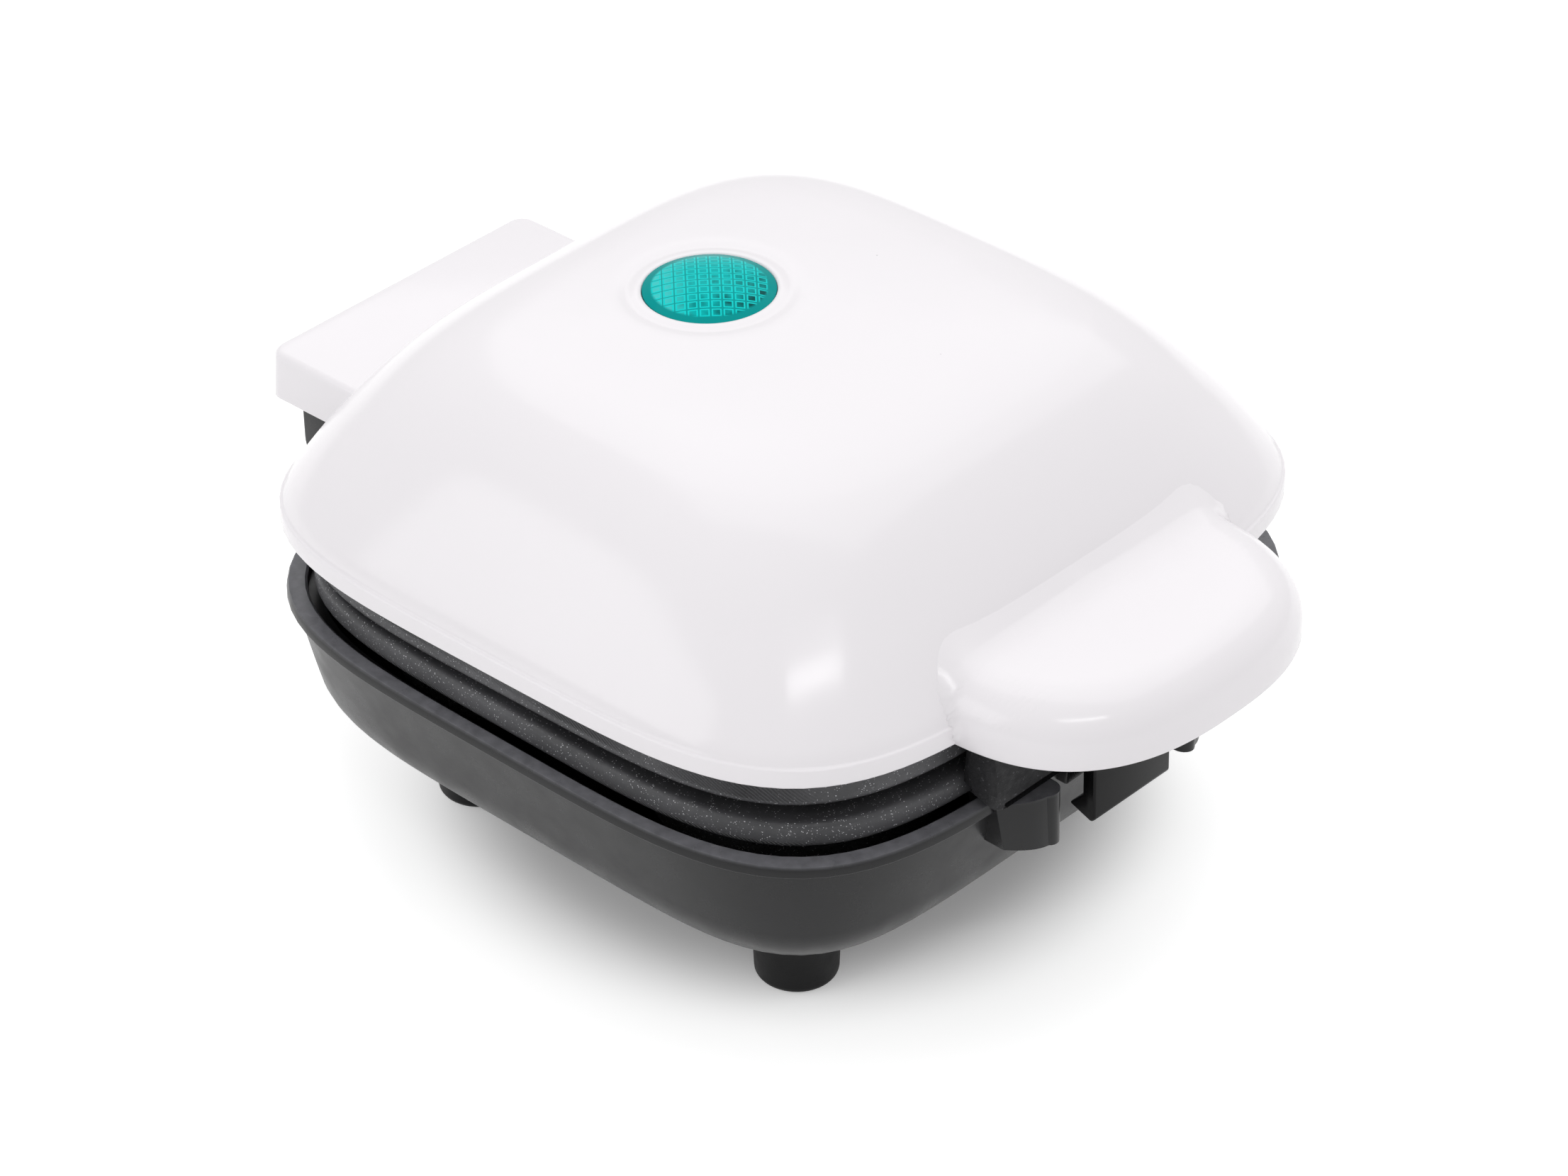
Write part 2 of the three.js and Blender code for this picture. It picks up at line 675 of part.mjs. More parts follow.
// Black cover under the handle: a plate, the deep wall in front of the plates and the latch ears
function makeInsert() {
  const wallFront = -caseHalf - insertDepth;
  const wallBack = -caseHalf + insertBack;
  const tongue = plan(handleOutline(handleWall + fit, 0), insertBottom, insertTop);
  const behind = block(-caseHalf, caseHalf, -caseHalf - fit, caseHalf, -overrun, insertTop + overrun);
  const plate = cut(tongue, behind);
  const outline = (back) => [
    [-insertHalf, back],
    [-insertHalf, wallFront + insertCorner / 2],
    [-insertHalf + insertCorner / 2, wallFront],
    [insertHalf - insertCorner / 2, wallFront],
    [insertHalf, wallFront + insertCorner / 2],
    [insertHalf, back],
  ];
  const wall = plan(outline(wallBack), -insertDrop, -fit);
  const rise = plan(outline(-caseHalf - fit), -insertDrop, insertTop);
  const earInner = clipHalf + earClearance;
  const ears = [-1, 1].map((sign) => {
    const inner = sign * earInner;
    const outer = sign * (earInner + earThickness);
    const [left, right] = [Math.min(inner, outer), Math.max(inner, outer)];
    const earFront = clipPivotY - clipHub;
    const hang = block(left, right, earFront, clipPivotY + clipHub, -clipPivotDrop, insertTop);
    return hang.add(barX(clipHub, left, right, clipPivotY, -clipPivotDrop));
  });
  const pinHole = barX(clipPinRadius + fit, -caseHalf, caseHalf, clipPivotY, -clipPivotDrop);
  const bore = screwRadius + boreClearance;
  const screwHoles = [-1, 1].map((sign) => (
    cylinder(bore, -overrun, insertTop + overrun, sign * insertScrewReach, insertScrewY)
  ));
  return cut(joined(plate, wall, rise, ...ears), pinHole, ...screwHoles);
}

// Latch clip: hub, arm and a barb that points back under the rim
function makeClip() {
  const front = clipPivotY;
  const back = clipPivotY + clipThickness;
  const low = -clipPivotDrop - clipLength;
  const outline = [
    [front, -clipPivotDrop],
    [front, low + clipThickness * clipTipShares.front],
    [front + clipThickness * clipTipShares.front, low],
    [back + clipBarb, low + clipThickness * clipTipShares.barb],
    [back, low + clipBarbRise],
    [back, -clipPivotDrop],
  ];
  const arm = side(outline, -clipHalf, clipHalf);
  const hub = barX(clipHub, -clipHalf, clipHalf, clipPivotY, -clipPivotDrop);
  const hole = barX(clipPinRadius + fit, -caseHalf, caseHalf, clipPivotY, -clipPivotDrop);
  return cut(joined(arm, hub), hole);
}

// Hinge bracket: a plate under the hinge cover with a knuckle at each end
function makeBracket() {
  const plateBottom = bracketTop - bracketPlate;
  const front = hingeY - knuckleRadius - fit;
  const back = coverBack - caseWall - fit;
  const plate = block(-lidKnuckleOuter, lidKnuckleOuter, front, back, plateBottom, bracketTop);
  const inner = baseKnuckleHalf + fit;
  const knuckles = [[-lidKnuckleOuter, -inner], [inner, lidKnuckleOuter]].map(([left, right]) => {
    const drum = barX(knuckleRadius, left, right, hingeY, axisZ, halfRingSides);
    const arm = block(left, right, hingeY - knuckleRadius, hingeY + knuckleRadius, axisZ, bracketTop);
    return drum.add(arm);
  });
  const pinHole = barX(hingePinRadius + boreClearance, -caseHalf, caseHalf, hingeY, axisZ);
  const bore = screwRadius + boreClearance;
  const screwHoles = [-1, 1].map((sign) => (
    cylinder(bore, plateBottom - overrun, bracketTop + overrun, sign * bracketScrewReach, hingeY)
  ));
  return cut(joined(plate, ...knuckles), pinHole, ...screwHoles);
}

// Tubular heating element: one loop under the cups with both ends led out to the rear
function makeHeater(z) {
  const points = [];
  const turns = 20;
  const opening = Math.atan2(heaterGapHalf * 2, cupCentre);
  const leadY = terminalSetback - leadClearance;
  points.push(new THREE.Vector3(-heaterGapHalf, leadY, z));
  points.push(new THREE.Vector3(-heaterGapHalf, (leadY + cupCentre) / 2, z));
  for (let i = 0; i <= turns; i += 1) {
    const angle = Math.PI / 2 + opening + (2 * Math.PI - 2 * opening) * i / turns;
    const reach = cupCentre * squircle(angle, squareness);
    points.push(new THREE.Vector3(reach * Math.cos(angle), reach * Math.sin(angle), z));
  }
  points.push(new THREE.Vector3(heaterGapHalf, (leadY + cupCentre) / 2, z));
  points.push(new THREE.Vector3(heaterGapHalf, leadY, z));
  const section = new THREE.Shape();
  section.absarc(0, 0, tubeRadius, 0, 2 * Math.PI, false);
  return solidOf(new THREE.ExtrudeGeometry(section, {
    extrudePath: new THREE.CatmullRomCurve3(points),
    steps: turns * 2,
    curveSegments: 3,
  }));
}

function makeLowerReflector() {
  const z = lowerReflectorZ;
  const half = lowerReflectorHalf;
  return squared([
    [0, z],
    [half - lowerReflectorLip, z],
    [half, z + lowerReflectorLip - reflectorSheet],
    [half, z + lowerReflectorLip],
    [half - reflectorSheet, z + lowerReflectorLip],
    [half - lowerReflectorLip - reflectorSheet, z + reflectorSheet],
    [0, z + reflectorSheet],
  ]);
}

function makeUpperReflector() {
  const z = upperReflectorZ;
  const flangeZ = upperSkirtTop + fit;
  const flangeOuter = plateHalf - fit;
  const flangeInner = flangeOuter - reflectorFlange;
  const tray = squared([
    [0, z],
    [upperReflectorHalf, z],
    [flangeInner, flangeZ],
    [flangeOuter, flangeZ],
    [flangeOuter, flangeZ + reflectorSheet],
    [flangeInner + reflectorSheet / 2, flangeZ + reflectorSheet],
    [upperReflectorHalf + reflectorSheet / 2, z + reflectorSheet],
    [0, z + reflectorSheet],
  ]);
  const bore = screwRadius + boreClearance;
  const holes = screwPlaces.map(([x, y]) => cylinder(bore, 0, z + reflectorSheet + overrun, x, y));
  return cut(tray, ...holes);
}

// Thermostat can with two terminal tabs, clear of the plate by the seat gap
function makeThermostat(seat, direction) {
  const far = seat + direction * thermostatHeight;
  const tabEnd = far + direction * thermostatTab;
  const can = cylinder(thermostatRadius, Math.min(seat, far), Math.max(seat, far), 0, 0, cupSides);
  const tabStart = far - direction * fit;
  const [low, high] = [Math.min(tabStart, tabEnd), Math.max(tabStart, tabEnd)];
  const tabs = [-1, 1].map((sign) => {
    const x = sign * thermostatRadius / 2;
    const [left, right] = [x - tabThickness / 2, x + tabThickness / 2];
    return block(left, right, -thermostatTab / 2, thermostatTab / 2, low, high);
  });
  return joined(can, ...tabs);
}

function placedTurned(points, x, y, sides = halfRingSides) {
  const geometry = turned(points, sides);
  geometry.translate(x, y, 0);
  return solidOf(geometry);
}

const lensSkin = domeHeightAt(lensSetback);
const lensSeatZ = lensSkin - lensBossHeight - fit;
const lensFootZ = lensSeatZ - lensFlangeThickness;
const lensRimZ = lensSkin - lensSink;

function makeLens() {
  const crown = [0, 1, 2].map((step) => {
    const angle = (Math.PI / 2) * step / 3;
    return [lensRadius * Math.cos(angle), lensRimZ + lensCrown * Math.sin(angle)];
  });
  const inside = lensRadius - lensWall;
  return placedTurned([
    [inside, lensRimZ - lensWall],
    [inside, lensFootZ],
    [lensFlange, lensFootZ],
    [lensFlange, lensSeatZ],
    [lensRadius, lensSeatZ],
    ...crown,
    [0, lensRimZ + lensCrown],
    [0, lensRimZ + lensCrown - lensWall],
    [inside, lensRimZ - lensWall],
  ], 0, lensSetback);
}

function makeRetainer() {
  const top = lensFootZ - fit;
  const collar = lensFlange + fit;
  return placedTurned([
    [retainerBore, top],
    [retainerBore, top - retainerThickness],
    [retainerRadius, top - retainerThickness],
    [retainerRadius, lensSeatZ],
    [collar, lensSeatZ],
    [collar, top],
    [retainerBore, top],
  ], 0, lensSetback);
}

const holderTop = lensFootZ - 2 * fit - retainerThickness;

function makeLampHolder() {
  const bore = lampRadius + fit;
  return placedTurned([
    [bore, holderTop],
    [bore, holderTop - lampTubeLength],
    [lampTube, holderTop - lampTubeLength],
    [lampTube, holderTop - retainerThickness],
    [retainerBore + retainerThickness, holderTop - retainerThickness],
    [retainerBore + retainerThickness, holderTop],
    [bore, holderTop],
  ], 0, lensSetback);
}

function makeLamp() {
  const bottom = holderTop - lampTubeLength;
  const shoulder = bottom + lampLength - lampRadius;
  return placedTurned([
    [0, bottom],
    [lampRadius, bottom],
    [lampRadius, shoulder],
    [lampRadius / 2, shoulder + lampRadius * lampTipShare],
    [0, shoulder + lampRadius],
  ], 0, lensSetback, roundSides);
}

function makeFoot(x, y) {
  return placedTurned([
    [0, 0],
    [footRadius - footTaper - footEdge, 0],
    [footRadius - footTaper, footEdge],
    [footRadius, footHeight],
    [footNeck, footHeight],
    [footNeck, floorZ + fit],
    [footHead, floorZ + fit],
    [footNeck, lowerReflectorZ - fit],
    [0, lowerReflectorZ - fit],
  ], x, y, footSides);
}

function makeGland() {
  const inner = hingeY - glandDepth;
  const flange = barY(glandFlange, hingeY + fit, hingeY + fit + glandFlangeThickness, 0, glandZ);
  const neck = barY(glandRadius, inner, hingeY + glandFlangeThickness, 0, glandZ);
  return cut(joined(neck, flange), barY(glandBore, inner - overrun, coverBack, 0, glandZ));
}

function makeTerminal() {
  const left = terminalOffset;
  const right = left + terminalLength;
  const body = block(
    left, right, terminalSetback, terminalSetback + terminalDepth, floorZ, floorZ + terminalHeight,
  );
  const pitch = terminalLength / 3;
  const wells = [0, 1, 2].map((i) => (
    cylinder(
      screwHeadRadius / 2, floorZ + terminalHeight / 2, floorZ + terminalHeight + overrun,
      left + pitch * (i + 1 / 2), terminalSetback + terminalDepth / 2, roundSides / 2,
    )
  ));
  return cut(body, ...wells);
}

piece('base_shell', makeBase(), finishes.satin);
piece('lower_plate', makeLowerPlate(), finishes.nonstick);
piece('lower_heater', makeHeater(lowerHeaterZ), finishes.steel);
piece('lower_reflector', makeLowerReflector(), finishes.aluminium);
piece('lower_thermostat', makeThermostat(lowerUnderZ - fit, -1), finishes.ceramic);
piece('terminal_block', makeTerminal(), finishes.ceramic);
piece('cord_gland', makeGland(), finishes.rubber);
piece('hinge_pin', barX(hingePinRadius, -lidKnuckleOuter, lidKnuckleOuter, hingeY, hingeZ), finishes.steel);
cornerSigns.forEach(([sx, sy], i) => {
  piece(`foot_${cornerNames[i]}`, makeFoot(sx * footReach, sy * footReach), finishes.rubber);
});
screwPlaces.forEach(([x, y], i) => {
  const screw = screwWithHead(x, y, lowerScrewZ - fit, -1, lowerUnderZ - overrun);
  piece(`lower_plate_screw_${sideNames[i]}`, screw, finishes.steel);
});

piece('lid_shell', makeLid(), finishes.white, lid);
piece('handle_insert', makeInsert(), finishes.rough, lid);
piece('hinge_bracket', makeBracket(), finishes.satin, lid);
piece('upper_plate', makeUpperPlate(), finishes.nonstick, lid);
piece('upper_heater', makeHeater(upperHeaterZ), finishes.steel, lid);
piece('upper_reflector', makeUpperReflector(), finishes.aluminium, lid);
piece('upper_thermostat', makeThermostat(upperOver + fit, 1), finishes.ceramic, lid);
const fuse = barX(fuseRadius, -fuseLength / 2, fuseLength / 2, fuseSetback, upperOver + fit + fuseRadius);
piece('thermal_fuse', fuse, finishes.ceramic, lid);
piece('indicator_lens', makeLens(), finishes.teal, lid);
piece('lens_retainer', makeRetainer(), finishes.satin, lid);
piece('lamp_holder', makeLampHolder(), finishes.ceramic, lid);
piece('indicator_lamp', makeLamp(), finishes.glass, lid);
piece('latch_clip', makeClip(), finishes.satin, lid);
const earOuter = clipHalf + earClearance + earThickness;
const latchPin = barX(clipPinRadius, -earOuter, earOuter, clipPivotY, -clipPivotDrop);
piece('latch_pin', latchPin, finishes.steel, lid);
screwPlaces.forEach(([x, y], i) => {
  const screw = screwWithHead(x, y, upperPlateFace + screwHeadHeight, -1, upperScrewTip);
  piece(`upper_plate_screw_${sideNames[i]}`, screw, finishes.steel, lid);
});
[['left', -1], ['right', 1]].forEach(([name, sign]) => {
  const insertX = sign * insertScrewReach;
  const insertScrew = screwWithHead(insertX, insertScrewY, insertBottom - fit, -1, insertScrewTip);
  piece(`handle_screw_${name}`, insertScrew, finishes.steel, lid);
  const bracketX = sign * bracketScrewReach;
  const bracketSeat = bracketTop - bracketPlate - fit;
  const bracketScrew = screwWithHead(bracketX, hingeY, bracketSeat, -1, bracketScrewTip);
  piece(`hinge_screw_${name}`, bracketScrew, finishes.steel, lid);
});

// The whole appliance is centred over the origin from front to back
const extent = new THREE.Box3().setFromObject(appliance, true);
appliance.position.y = -(extent.min.y + extent.max.y) / 2;

export default appliance;
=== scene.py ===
"""Egg bite maker: looks for the hinged lid, the cup plates, the base and the latch.

Sizes are in metres. The lid's pieces are modelled with their edge at height zero and are
then turned about the hinge to the slightly open rest.
"""

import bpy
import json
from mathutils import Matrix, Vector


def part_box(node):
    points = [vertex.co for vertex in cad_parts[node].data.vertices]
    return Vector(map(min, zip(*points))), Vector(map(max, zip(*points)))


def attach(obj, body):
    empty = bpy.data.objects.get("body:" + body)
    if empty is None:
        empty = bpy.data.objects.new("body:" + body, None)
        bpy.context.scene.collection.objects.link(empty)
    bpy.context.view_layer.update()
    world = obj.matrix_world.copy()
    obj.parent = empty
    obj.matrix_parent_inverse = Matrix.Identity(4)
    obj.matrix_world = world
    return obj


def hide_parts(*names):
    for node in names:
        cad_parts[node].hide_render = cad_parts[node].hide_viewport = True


bl_info = {
    "name": "Egg Bite Maker",
    "version": (1, 0, 0),
    "blender": (4, 5, 0),
    "location": "3D View > Sidebar > Cooker",
    "description": "Builds the visible pieces of an egg bite maker and its studio",
    "category": "Object",
}

import json
import math

import bmesh
import bpy
from mathutils import Matrix, Vector

MM = 0.001
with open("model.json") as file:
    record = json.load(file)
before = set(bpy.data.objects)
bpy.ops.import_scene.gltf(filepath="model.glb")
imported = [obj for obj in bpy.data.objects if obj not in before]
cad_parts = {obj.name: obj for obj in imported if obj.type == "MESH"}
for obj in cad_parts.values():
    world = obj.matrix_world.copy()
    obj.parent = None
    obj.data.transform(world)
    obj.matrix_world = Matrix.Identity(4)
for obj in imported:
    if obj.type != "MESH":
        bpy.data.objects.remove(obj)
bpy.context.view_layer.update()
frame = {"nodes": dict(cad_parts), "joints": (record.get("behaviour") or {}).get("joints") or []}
lid_joint = next(j for j in frame["joints"] if j["name"] == "lid_hinge")
hinge = Vector(lid_joint["pos_m"])

IMAGE_WIDTH = 2212
FOCAL_PIXELS = 8000


# Sizes and colours


def length(name, description, millimetres):
    return bpy.props.FloatProperty(
        name=name, description=description, default=millimetres * MM, unit="LENGTH"
    )


def colour(name, description, value):
    return bpy.props.FloatVectorProperty(
        name=name, description=description, default=value, subtype="COLOR", size=3
    )


class CookerSizes(bpy.types.PropertyGroup):
    """The sizes that shape the cooker."""

    case_half: length("Case half width", "From the middle to the rims", 75)
    wall: length("Wall", "Thickness of the lid's and the base's walls", 2.2)
    foot_height: length("Foot height", "From the ground to the bowl", 16)
    bowl_height: length("Bowl height", "From the bowl's floor to the rim", 32)
    bowl_fillet: length("Bowl fillet", "Rounding at the foot of the bowl", 19)
    lip_height: length("Lip height", "The raised lip around the base", 2.5)
    lid_gap: length("Lid gap", "From the base rim to the lid's edge", 13.3)
    band_height: length("Band height", "The upright band around the lid", 4.2)
    shoulder_inset: length("Shoulder inset", "How far the dome's wall leans in", 11.6)
    shoulder_height: length("Shoulder height", "Where the wall turns over", 21.1)
    dome_bulge: length("Dome bulge", "How far the dome's wall swells out halfway up", 0.7)
    crown_inset: length("Crown inset", "Where the crown begins", 35.5)
    crown_height: length("Crown height", "Height where the crown begins", 36.1)
    dome_height: length("Dome height", "Height of the lid at its middle", 36.8)
    handle_half: length("Handle half width", "Half width of the handle at its root", 37.5)
    handle_reach: length("Handle reach", "How far the handle stands out", 28.5)
    handle_height: length("Handle height", "Height of the handle", 12)
    handle_fillet: length("Handle rounding", "Rounding of the handle's top edge", 9)
    cover_half: length("Hinge cover half width", "Half width of the hinge cover", 34)
    cover_reach: length("Hinge cover reach", "How far the cover stands out", 24.2)
    plate_half: length("Plate half width", "From the middle to the plates' edges", 70.6)
    cup_radius: length("Cup radius", "Radius of a cup at its mouth", 27)
    cup_spacing: length("Cup spacing", "From cup to cup", 64)
    lower_cup_depth: length("Lower cup depth", "Depth of the cups below", 21)
    upper_cup_depth: length("Upper cup depth", "Depth of the cups above", 9)
    lens_radius: length("Lens radius", "Radius of the indicator lens", 12)
    lens_setback: length("Lens setback", "From the middle back to the lens", 17)


class CookerColours(bpy.types.PropertyGroup):
    """The colours of the cooker's finishes."""

    white: colour("White", "Glossy lid", (0.84, 0.815, 0.84))
    satin: colour("Satin black", "Base bowl and hinge arms", (0.009, 0.009, 0.0098))
    rough: colour("Rough black", "Cover under the handle", (0.014, 0.014, 0.0155))
    rubber: colour("Rubber", "Feet, cord gland and latch clip", (0.004, 0.004, 0.0044))
    coating: colour("Coating", "Nonstick cup plates", (0.055, 0.055, 0.059))
    fleck: colour("Fleck", "Bright flecks in the coating", (0.5, 0.5, 0.52))
    teal: colour("Teal", "Indicator lens", (0.0, 0.41, 0.40))
    steel: colour("Steel", "Screws and pins", (0.52, 0.53, 0.54))
    sheath: colour("Sheath", "Heating elements", (0.20, 0.18, 0.17))
    aluminium: colour("Aluminium", "Reflector sheets", (0.72, 0.72, 0.73))
    ceramic: colour("Ceramic", "Thermostats and sockets", (0.74, 0.69, 0.60))
    glass: colour("Lamp glass", "Indicator lamp", (0.9, 0.45, 0.25))
    floor: colour("Floor", "Ground and backdrop", (0.9, 0.9, 0.9))


def sizes():
    return bpy.context.scene.cooker_sizes


def colours():
    return bpy.context.scene.cooker_colours


# Places

CASE_TO_HINGE = 0.086
BODY_Y = hinge.y - CASE_TO_HINGE
REST_TILT = math.radians(1.2)
SQUARENESS = 4.2
DOME_SQUARENESS = 3.8
FLOOR_SQUARENESS = 5.6
HANDLE_POWER = 2 / 2.55

WALL_STEP = 0.6 * MM
HINGE_OUT = 11 * MM
HINGE_RADIUS = 7 * MM
HINGE_BORE = 2.3 * MM
LATCH_OUT = 7 * MM
LATCH_HEIGHT = -4 * MM
LATCH_HUB = 3 * MM
CORD_DROP = 18 * MM
FOOT_REACH = 39.9 * MM
PLATE_LOW = 0.4 * MM
PLATE_FACE = 5.7 * MM
SCREW_REACH = 48 * MM
SCREW_HOLE = 3.2 * MM
HEAD_HEIGHT = 1.8 * MM
SCREWS = {
    "right": (SCREW_REACH, 0), "rear": (0, SCREW_REACH),
    "left": (-SCREW_REACH, 0), "front": (0, -SCREW_REACH),
}
CORNERS = {
    "front_left": (-1, -1), "front_right": (1, -1), "rear_left": (-1, 1), "rear_right": (1, 1)
}


def rim_height():
    return sizes().foot_height + sizes().bowl_height


def base_place():
    """From the case's own middle to the row frame."""
    return Matrix.Translation((0, BODY_Y, 0))


def lid_place():
    """From the lid's frame, with its edge at height zero, to the lid at rest."""
    edge = rim_height() + sizes().lid_gap
    to_hinge = Matrix.Translation((0, BODY_Y - hinge.y, edge - hinge.z))
    turn = Matrix.Rotation(-REST_TILT, 4, "X")
    return Matrix.Translation(hinge) @ turn @ to_hinge


def ring_reach(angle, power):
    """How far a rounded square of half width 1 reaches in a direction."""
    across = abs(math.cos(angle)) ** power
    along = abs(math.sin(angle)) ** power
    return (across + along) ** (-1 / power)


# Outlines


def at(place, *steps):
    """Points at steps, in millimetres, from a place."""
    return [tuple(p + q * MM for p, q in zip(place, step)) for step in steps]


def arc(centre, radius, start, end, steps):
    """Points on an arc, with angles in degrees."""
    points = []
    for i in range(steps + 1):
        a = math.radians(start + (end - start) * i / steps)
        points.append((centre[0] + radius * math.cos(a), centre[1] + radius * math.sin(a)))
    return points


def bend(start, middle, end, steps):
    """Points on a curve that leaves start and meets end along the lines to middle."""
    points = []
    for i in range(steps + 1):
        t = i / steps
        a, b, c = (1 - t) ** 2, 2 * t * (1 - t), t * t
        points.append(tuple(a * p + b * q + c * r for p, q, r in zip(start, middle, end)))
    return points


# Forms


def outward(bm):
    bmesh.ops.recalc_face_normals(bm, faces=bm.faces)
    return bm


def moved(bm, x, y, z):
    bmesh.ops.translate(bm, vec=(x, y, z), verts=bm.verts)
    return bm


def grown_verts(made):
    return [g for g in made["geom"] if isinstance(g, bmesh.types.BMVert)]


def spun(points, steps=64, angle=2 * math.pi):
    """A profile of radius and height turned about Z."""
    bm = bmesh.new()
    verts = [bm.verts.new((r, 0, z)) for r, z in points]
    edges = [bm.edges.new(pair) for pair in zip(verts, verts[1:])]
    full = abs(angle - 2 * math.pi) < 1e-6
    bmesh.ops.spin(
        bm, geom=verts + edges, cent=(0, 0, 0), axis=(0, 0, 1), angle=angle,
        steps=steps, use_merge=full, use_duplicate=False,
    )
    bmesh.ops.remove_doubles(bm, verts=bm.verts, dist=1e-6)
    return outward(bm)


def squared(points, steps=144, power_at=lambda z: SQUARENESS):
    """A spun profile pressed out to a rounded square."""
    bm = spun(points, steps)
    for v in bm.verts:
        reach = ring_reach(math.atan2(v.co.y, v.co.x), power_at(v.co.z))
        v.co.x *= reach
        v.co.y *= reach
    return bm


def prism(points, low, high):
    """An outline in plan raised from low to high."""
    bm = bmesh.new()
    face = bm.faces.new([bm.verts.new((x, y, low)) for x, y in points])
    raised = bmesh.ops.extrude_face_region(bm, geom=[face])
    bmesh.ops.translate(bm, verts=grown_verts(raised), vec=(0, 0, high - low))
    return outward(bm)


def side_prism(points, left, right):
    """An outline of depth and height drawn out along X."""
    bm = prism(points, left, right)
    bm.transform(Matrix(((0, 0, 1, 0), (1, 0, 0, 0), (0, 1, 0, 0), (0, 0, 0, 1))))
    return outward(bm)


def block(low, high):
    bm = bmesh.new()
    bmesh.ops.create_cube(bm, size=1)
    low, high = Vector(low), Vector(high)
    bmesh.ops.scale(bm, vec=high - low, verts=bm.verts)
    return moved(bm, *(low + high) / 2)


def rod(radius, start, end, segments=32, axis="Z", place=(0, 0)):
    """A round bar along an axis between start and end, at a place across it."""
    bm = bmesh.new()
    bmesh.ops.create_cone(
        bm, cap_ends=True, segments=segments, radius1=radius, radius2=radius,
        depth=end - start,
    )
    if axis != "Z":
        bm.transform(Matrix.Rotation(math.pi / 2, 4, "Y" if axis == "X" else "X"))
    centre = list(place)
    centre.insert("XYZ".index(axis), (start + end) / 2)
    return moved(bm, *centre)


def screw_holes(low, high):
    return [rod(SCREW_HOLE, low, high, place=place) for place in SCREWS.values()]


def soften(bm, width, segments=3, angle=28, keep=None):
    """Rounds the edges that turn by more than an angle in degrees."""
    least = math.radians(angle)
    edges = [
        e for e in bm.edges
        if len(e.link_faces) == 2 and e.calc_face_angle(0) > least and (keep is None or keep(e))
    ]
    bmesh.ops.bevel(
        bm, geom=edges, offset=width, offset_type="OFFSET", segments=segments,
        affect="EDGES", profile=0.5, material=-1, clamp_overlap=True,
    )
    return bm


def ears(y, z, radius, top, steps, inner, outer, *rounding):
    """Two ears that hang from a height, one at each side, and are round about an axis."""
    outline = [(y - radius, top), (y - radius, z), *arc((y, z), radius, 180, 360, steps)[1:]]
    outline.append((y + radius, top))
    spans = (-outer, -inner), (inner, outer)
    return [soften(side_prism(outline, *span), *rounding) for span in spans]


def meshed(bm, name):
    """A form's mesh, with the form used up."""
    mesh = bpy.data.meshes.new(name)
    bm.to_mesh(mesh)
    bm.free()
    return mesh


def linked(name, data):
    """A new object in the scene."""
    obj = bpy.data.objects.new(name, data)
    bpy.context.scene.collection.objects.link(obj)
    return obj


def gathered(*parts):
    """Several closed forms as one piece."""
    whole = bmesh.new()
    for part in parts:
        mesh = meshed(part, "part")
        whole.from_mesh(mesh)
        bpy.data.meshes.remove(mesh)
    return whole


def carved(bm, *cutters):
    """A form with others taken out of it."""
    body, *others = [linked("form", meshed(form, "form")) for form in (bm, *cutters)]
    for other in others:
        cut = body.modifiers.new("cut", "BOOLEAN")
        cut.operation = "DIFFERENCE"
        cut.solver = "EXACT"
        cut.object = other
    evaluated = body.evaluated_get(bpy.context.evaluated_depsgraph_get())
    result = bmesh.new()
    mesh = bpy.data.meshes.new_from_object(evaluated)
    result.from_mesh(mesh)
    bpy.data.meshes.remove(mesh)
    for obj in (body, *others):
        data = obj.data
        bpy.data.objects.remove(obj)
        bpy.data.meshes.remove(data)
    return result


def shown(bm, name, body, nodes, look, sharp=35, place=None):
    """Makes the finished object, at rest in the row frame, and hides what it stands for."""
    if place is None:
        place = base_place() if body == "base" else lid_place()
    bm.transform(place)
    for face in bm.faces:
        face.smooth = True
    mesh = meshed(bm, name)
    mesh.set_sharp_from_angle(angle=math.radians(sharp))
    mesh.materials.append(finish(look))
    obj = linked(name, mesh)
    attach(obj, body)
    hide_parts(*nodes)


# Materials


class Nodes:
    """Short ways to add nodes to a tree."""

    def __init__(self, tree):
        self.tree = tree

    def feed(self, socket, value):
        """Gives a socket a value, or links the socket that the value comes from."""
        if isinstance(value, bpy.types.NodeSocket):
            self.tree.links.new(value, socket)
        else:
            socket.default_value = (*value, 1) if socket.type == "RGBA" else value

    def node(self, kind, *inputs, named=None, **settings):
        """A new node, fed by place or by name."""
        made = self.tree.nodes.new(kind)
        for key, value in settings.items():
            setattr(made, key, value)
        for key, value in [*enumerate(inputs), *(named or {}).items()]:
            self.feed(made.inputs[key], value)
        return made

    def math(self, operation, first, second=0.0, clamp=False):
        made = self.node("ShaderNodeMath", first, second, operation=operation, use_clamp=clamp)
        return made.outputs[0]

    def vector(self, operation, *inputs):
        return self.node("ShaderNodeVectorMath", *inputs, operation=operation).outputs

    def times(self, first, second):
        return self.math("MULTIPLY", first, second)

    def apart(self, first, second):
        """How far two values differ."""
        return self.math("ABSOLUTE", self.math("SUBTRACT", first, second))

    def split(self, source):
        """The three parts of a vector."""
        return self.node("ShaderNodeSeparateXYZ", source).outputs

    def between(self, value, *ends):
        """A range, low and high, carried over to another or to zero and one."""
        return self.node("ShaderNodeMapRange", value, *ends).outputs["Result"]

    def blended(self, share, first, second):
        """A colour between two others."""
        ends = {"A_Color": first, "B_Color": second}
        made = self.node("ShaderNodeMix", share, data_type="RGBA")
        for socket in made.inputs:
            if socket.identifier in ends:
                self.feed(socket, ends[socket.identifier])
        return next(s for s in made.outputs if s.type == "RGBA")


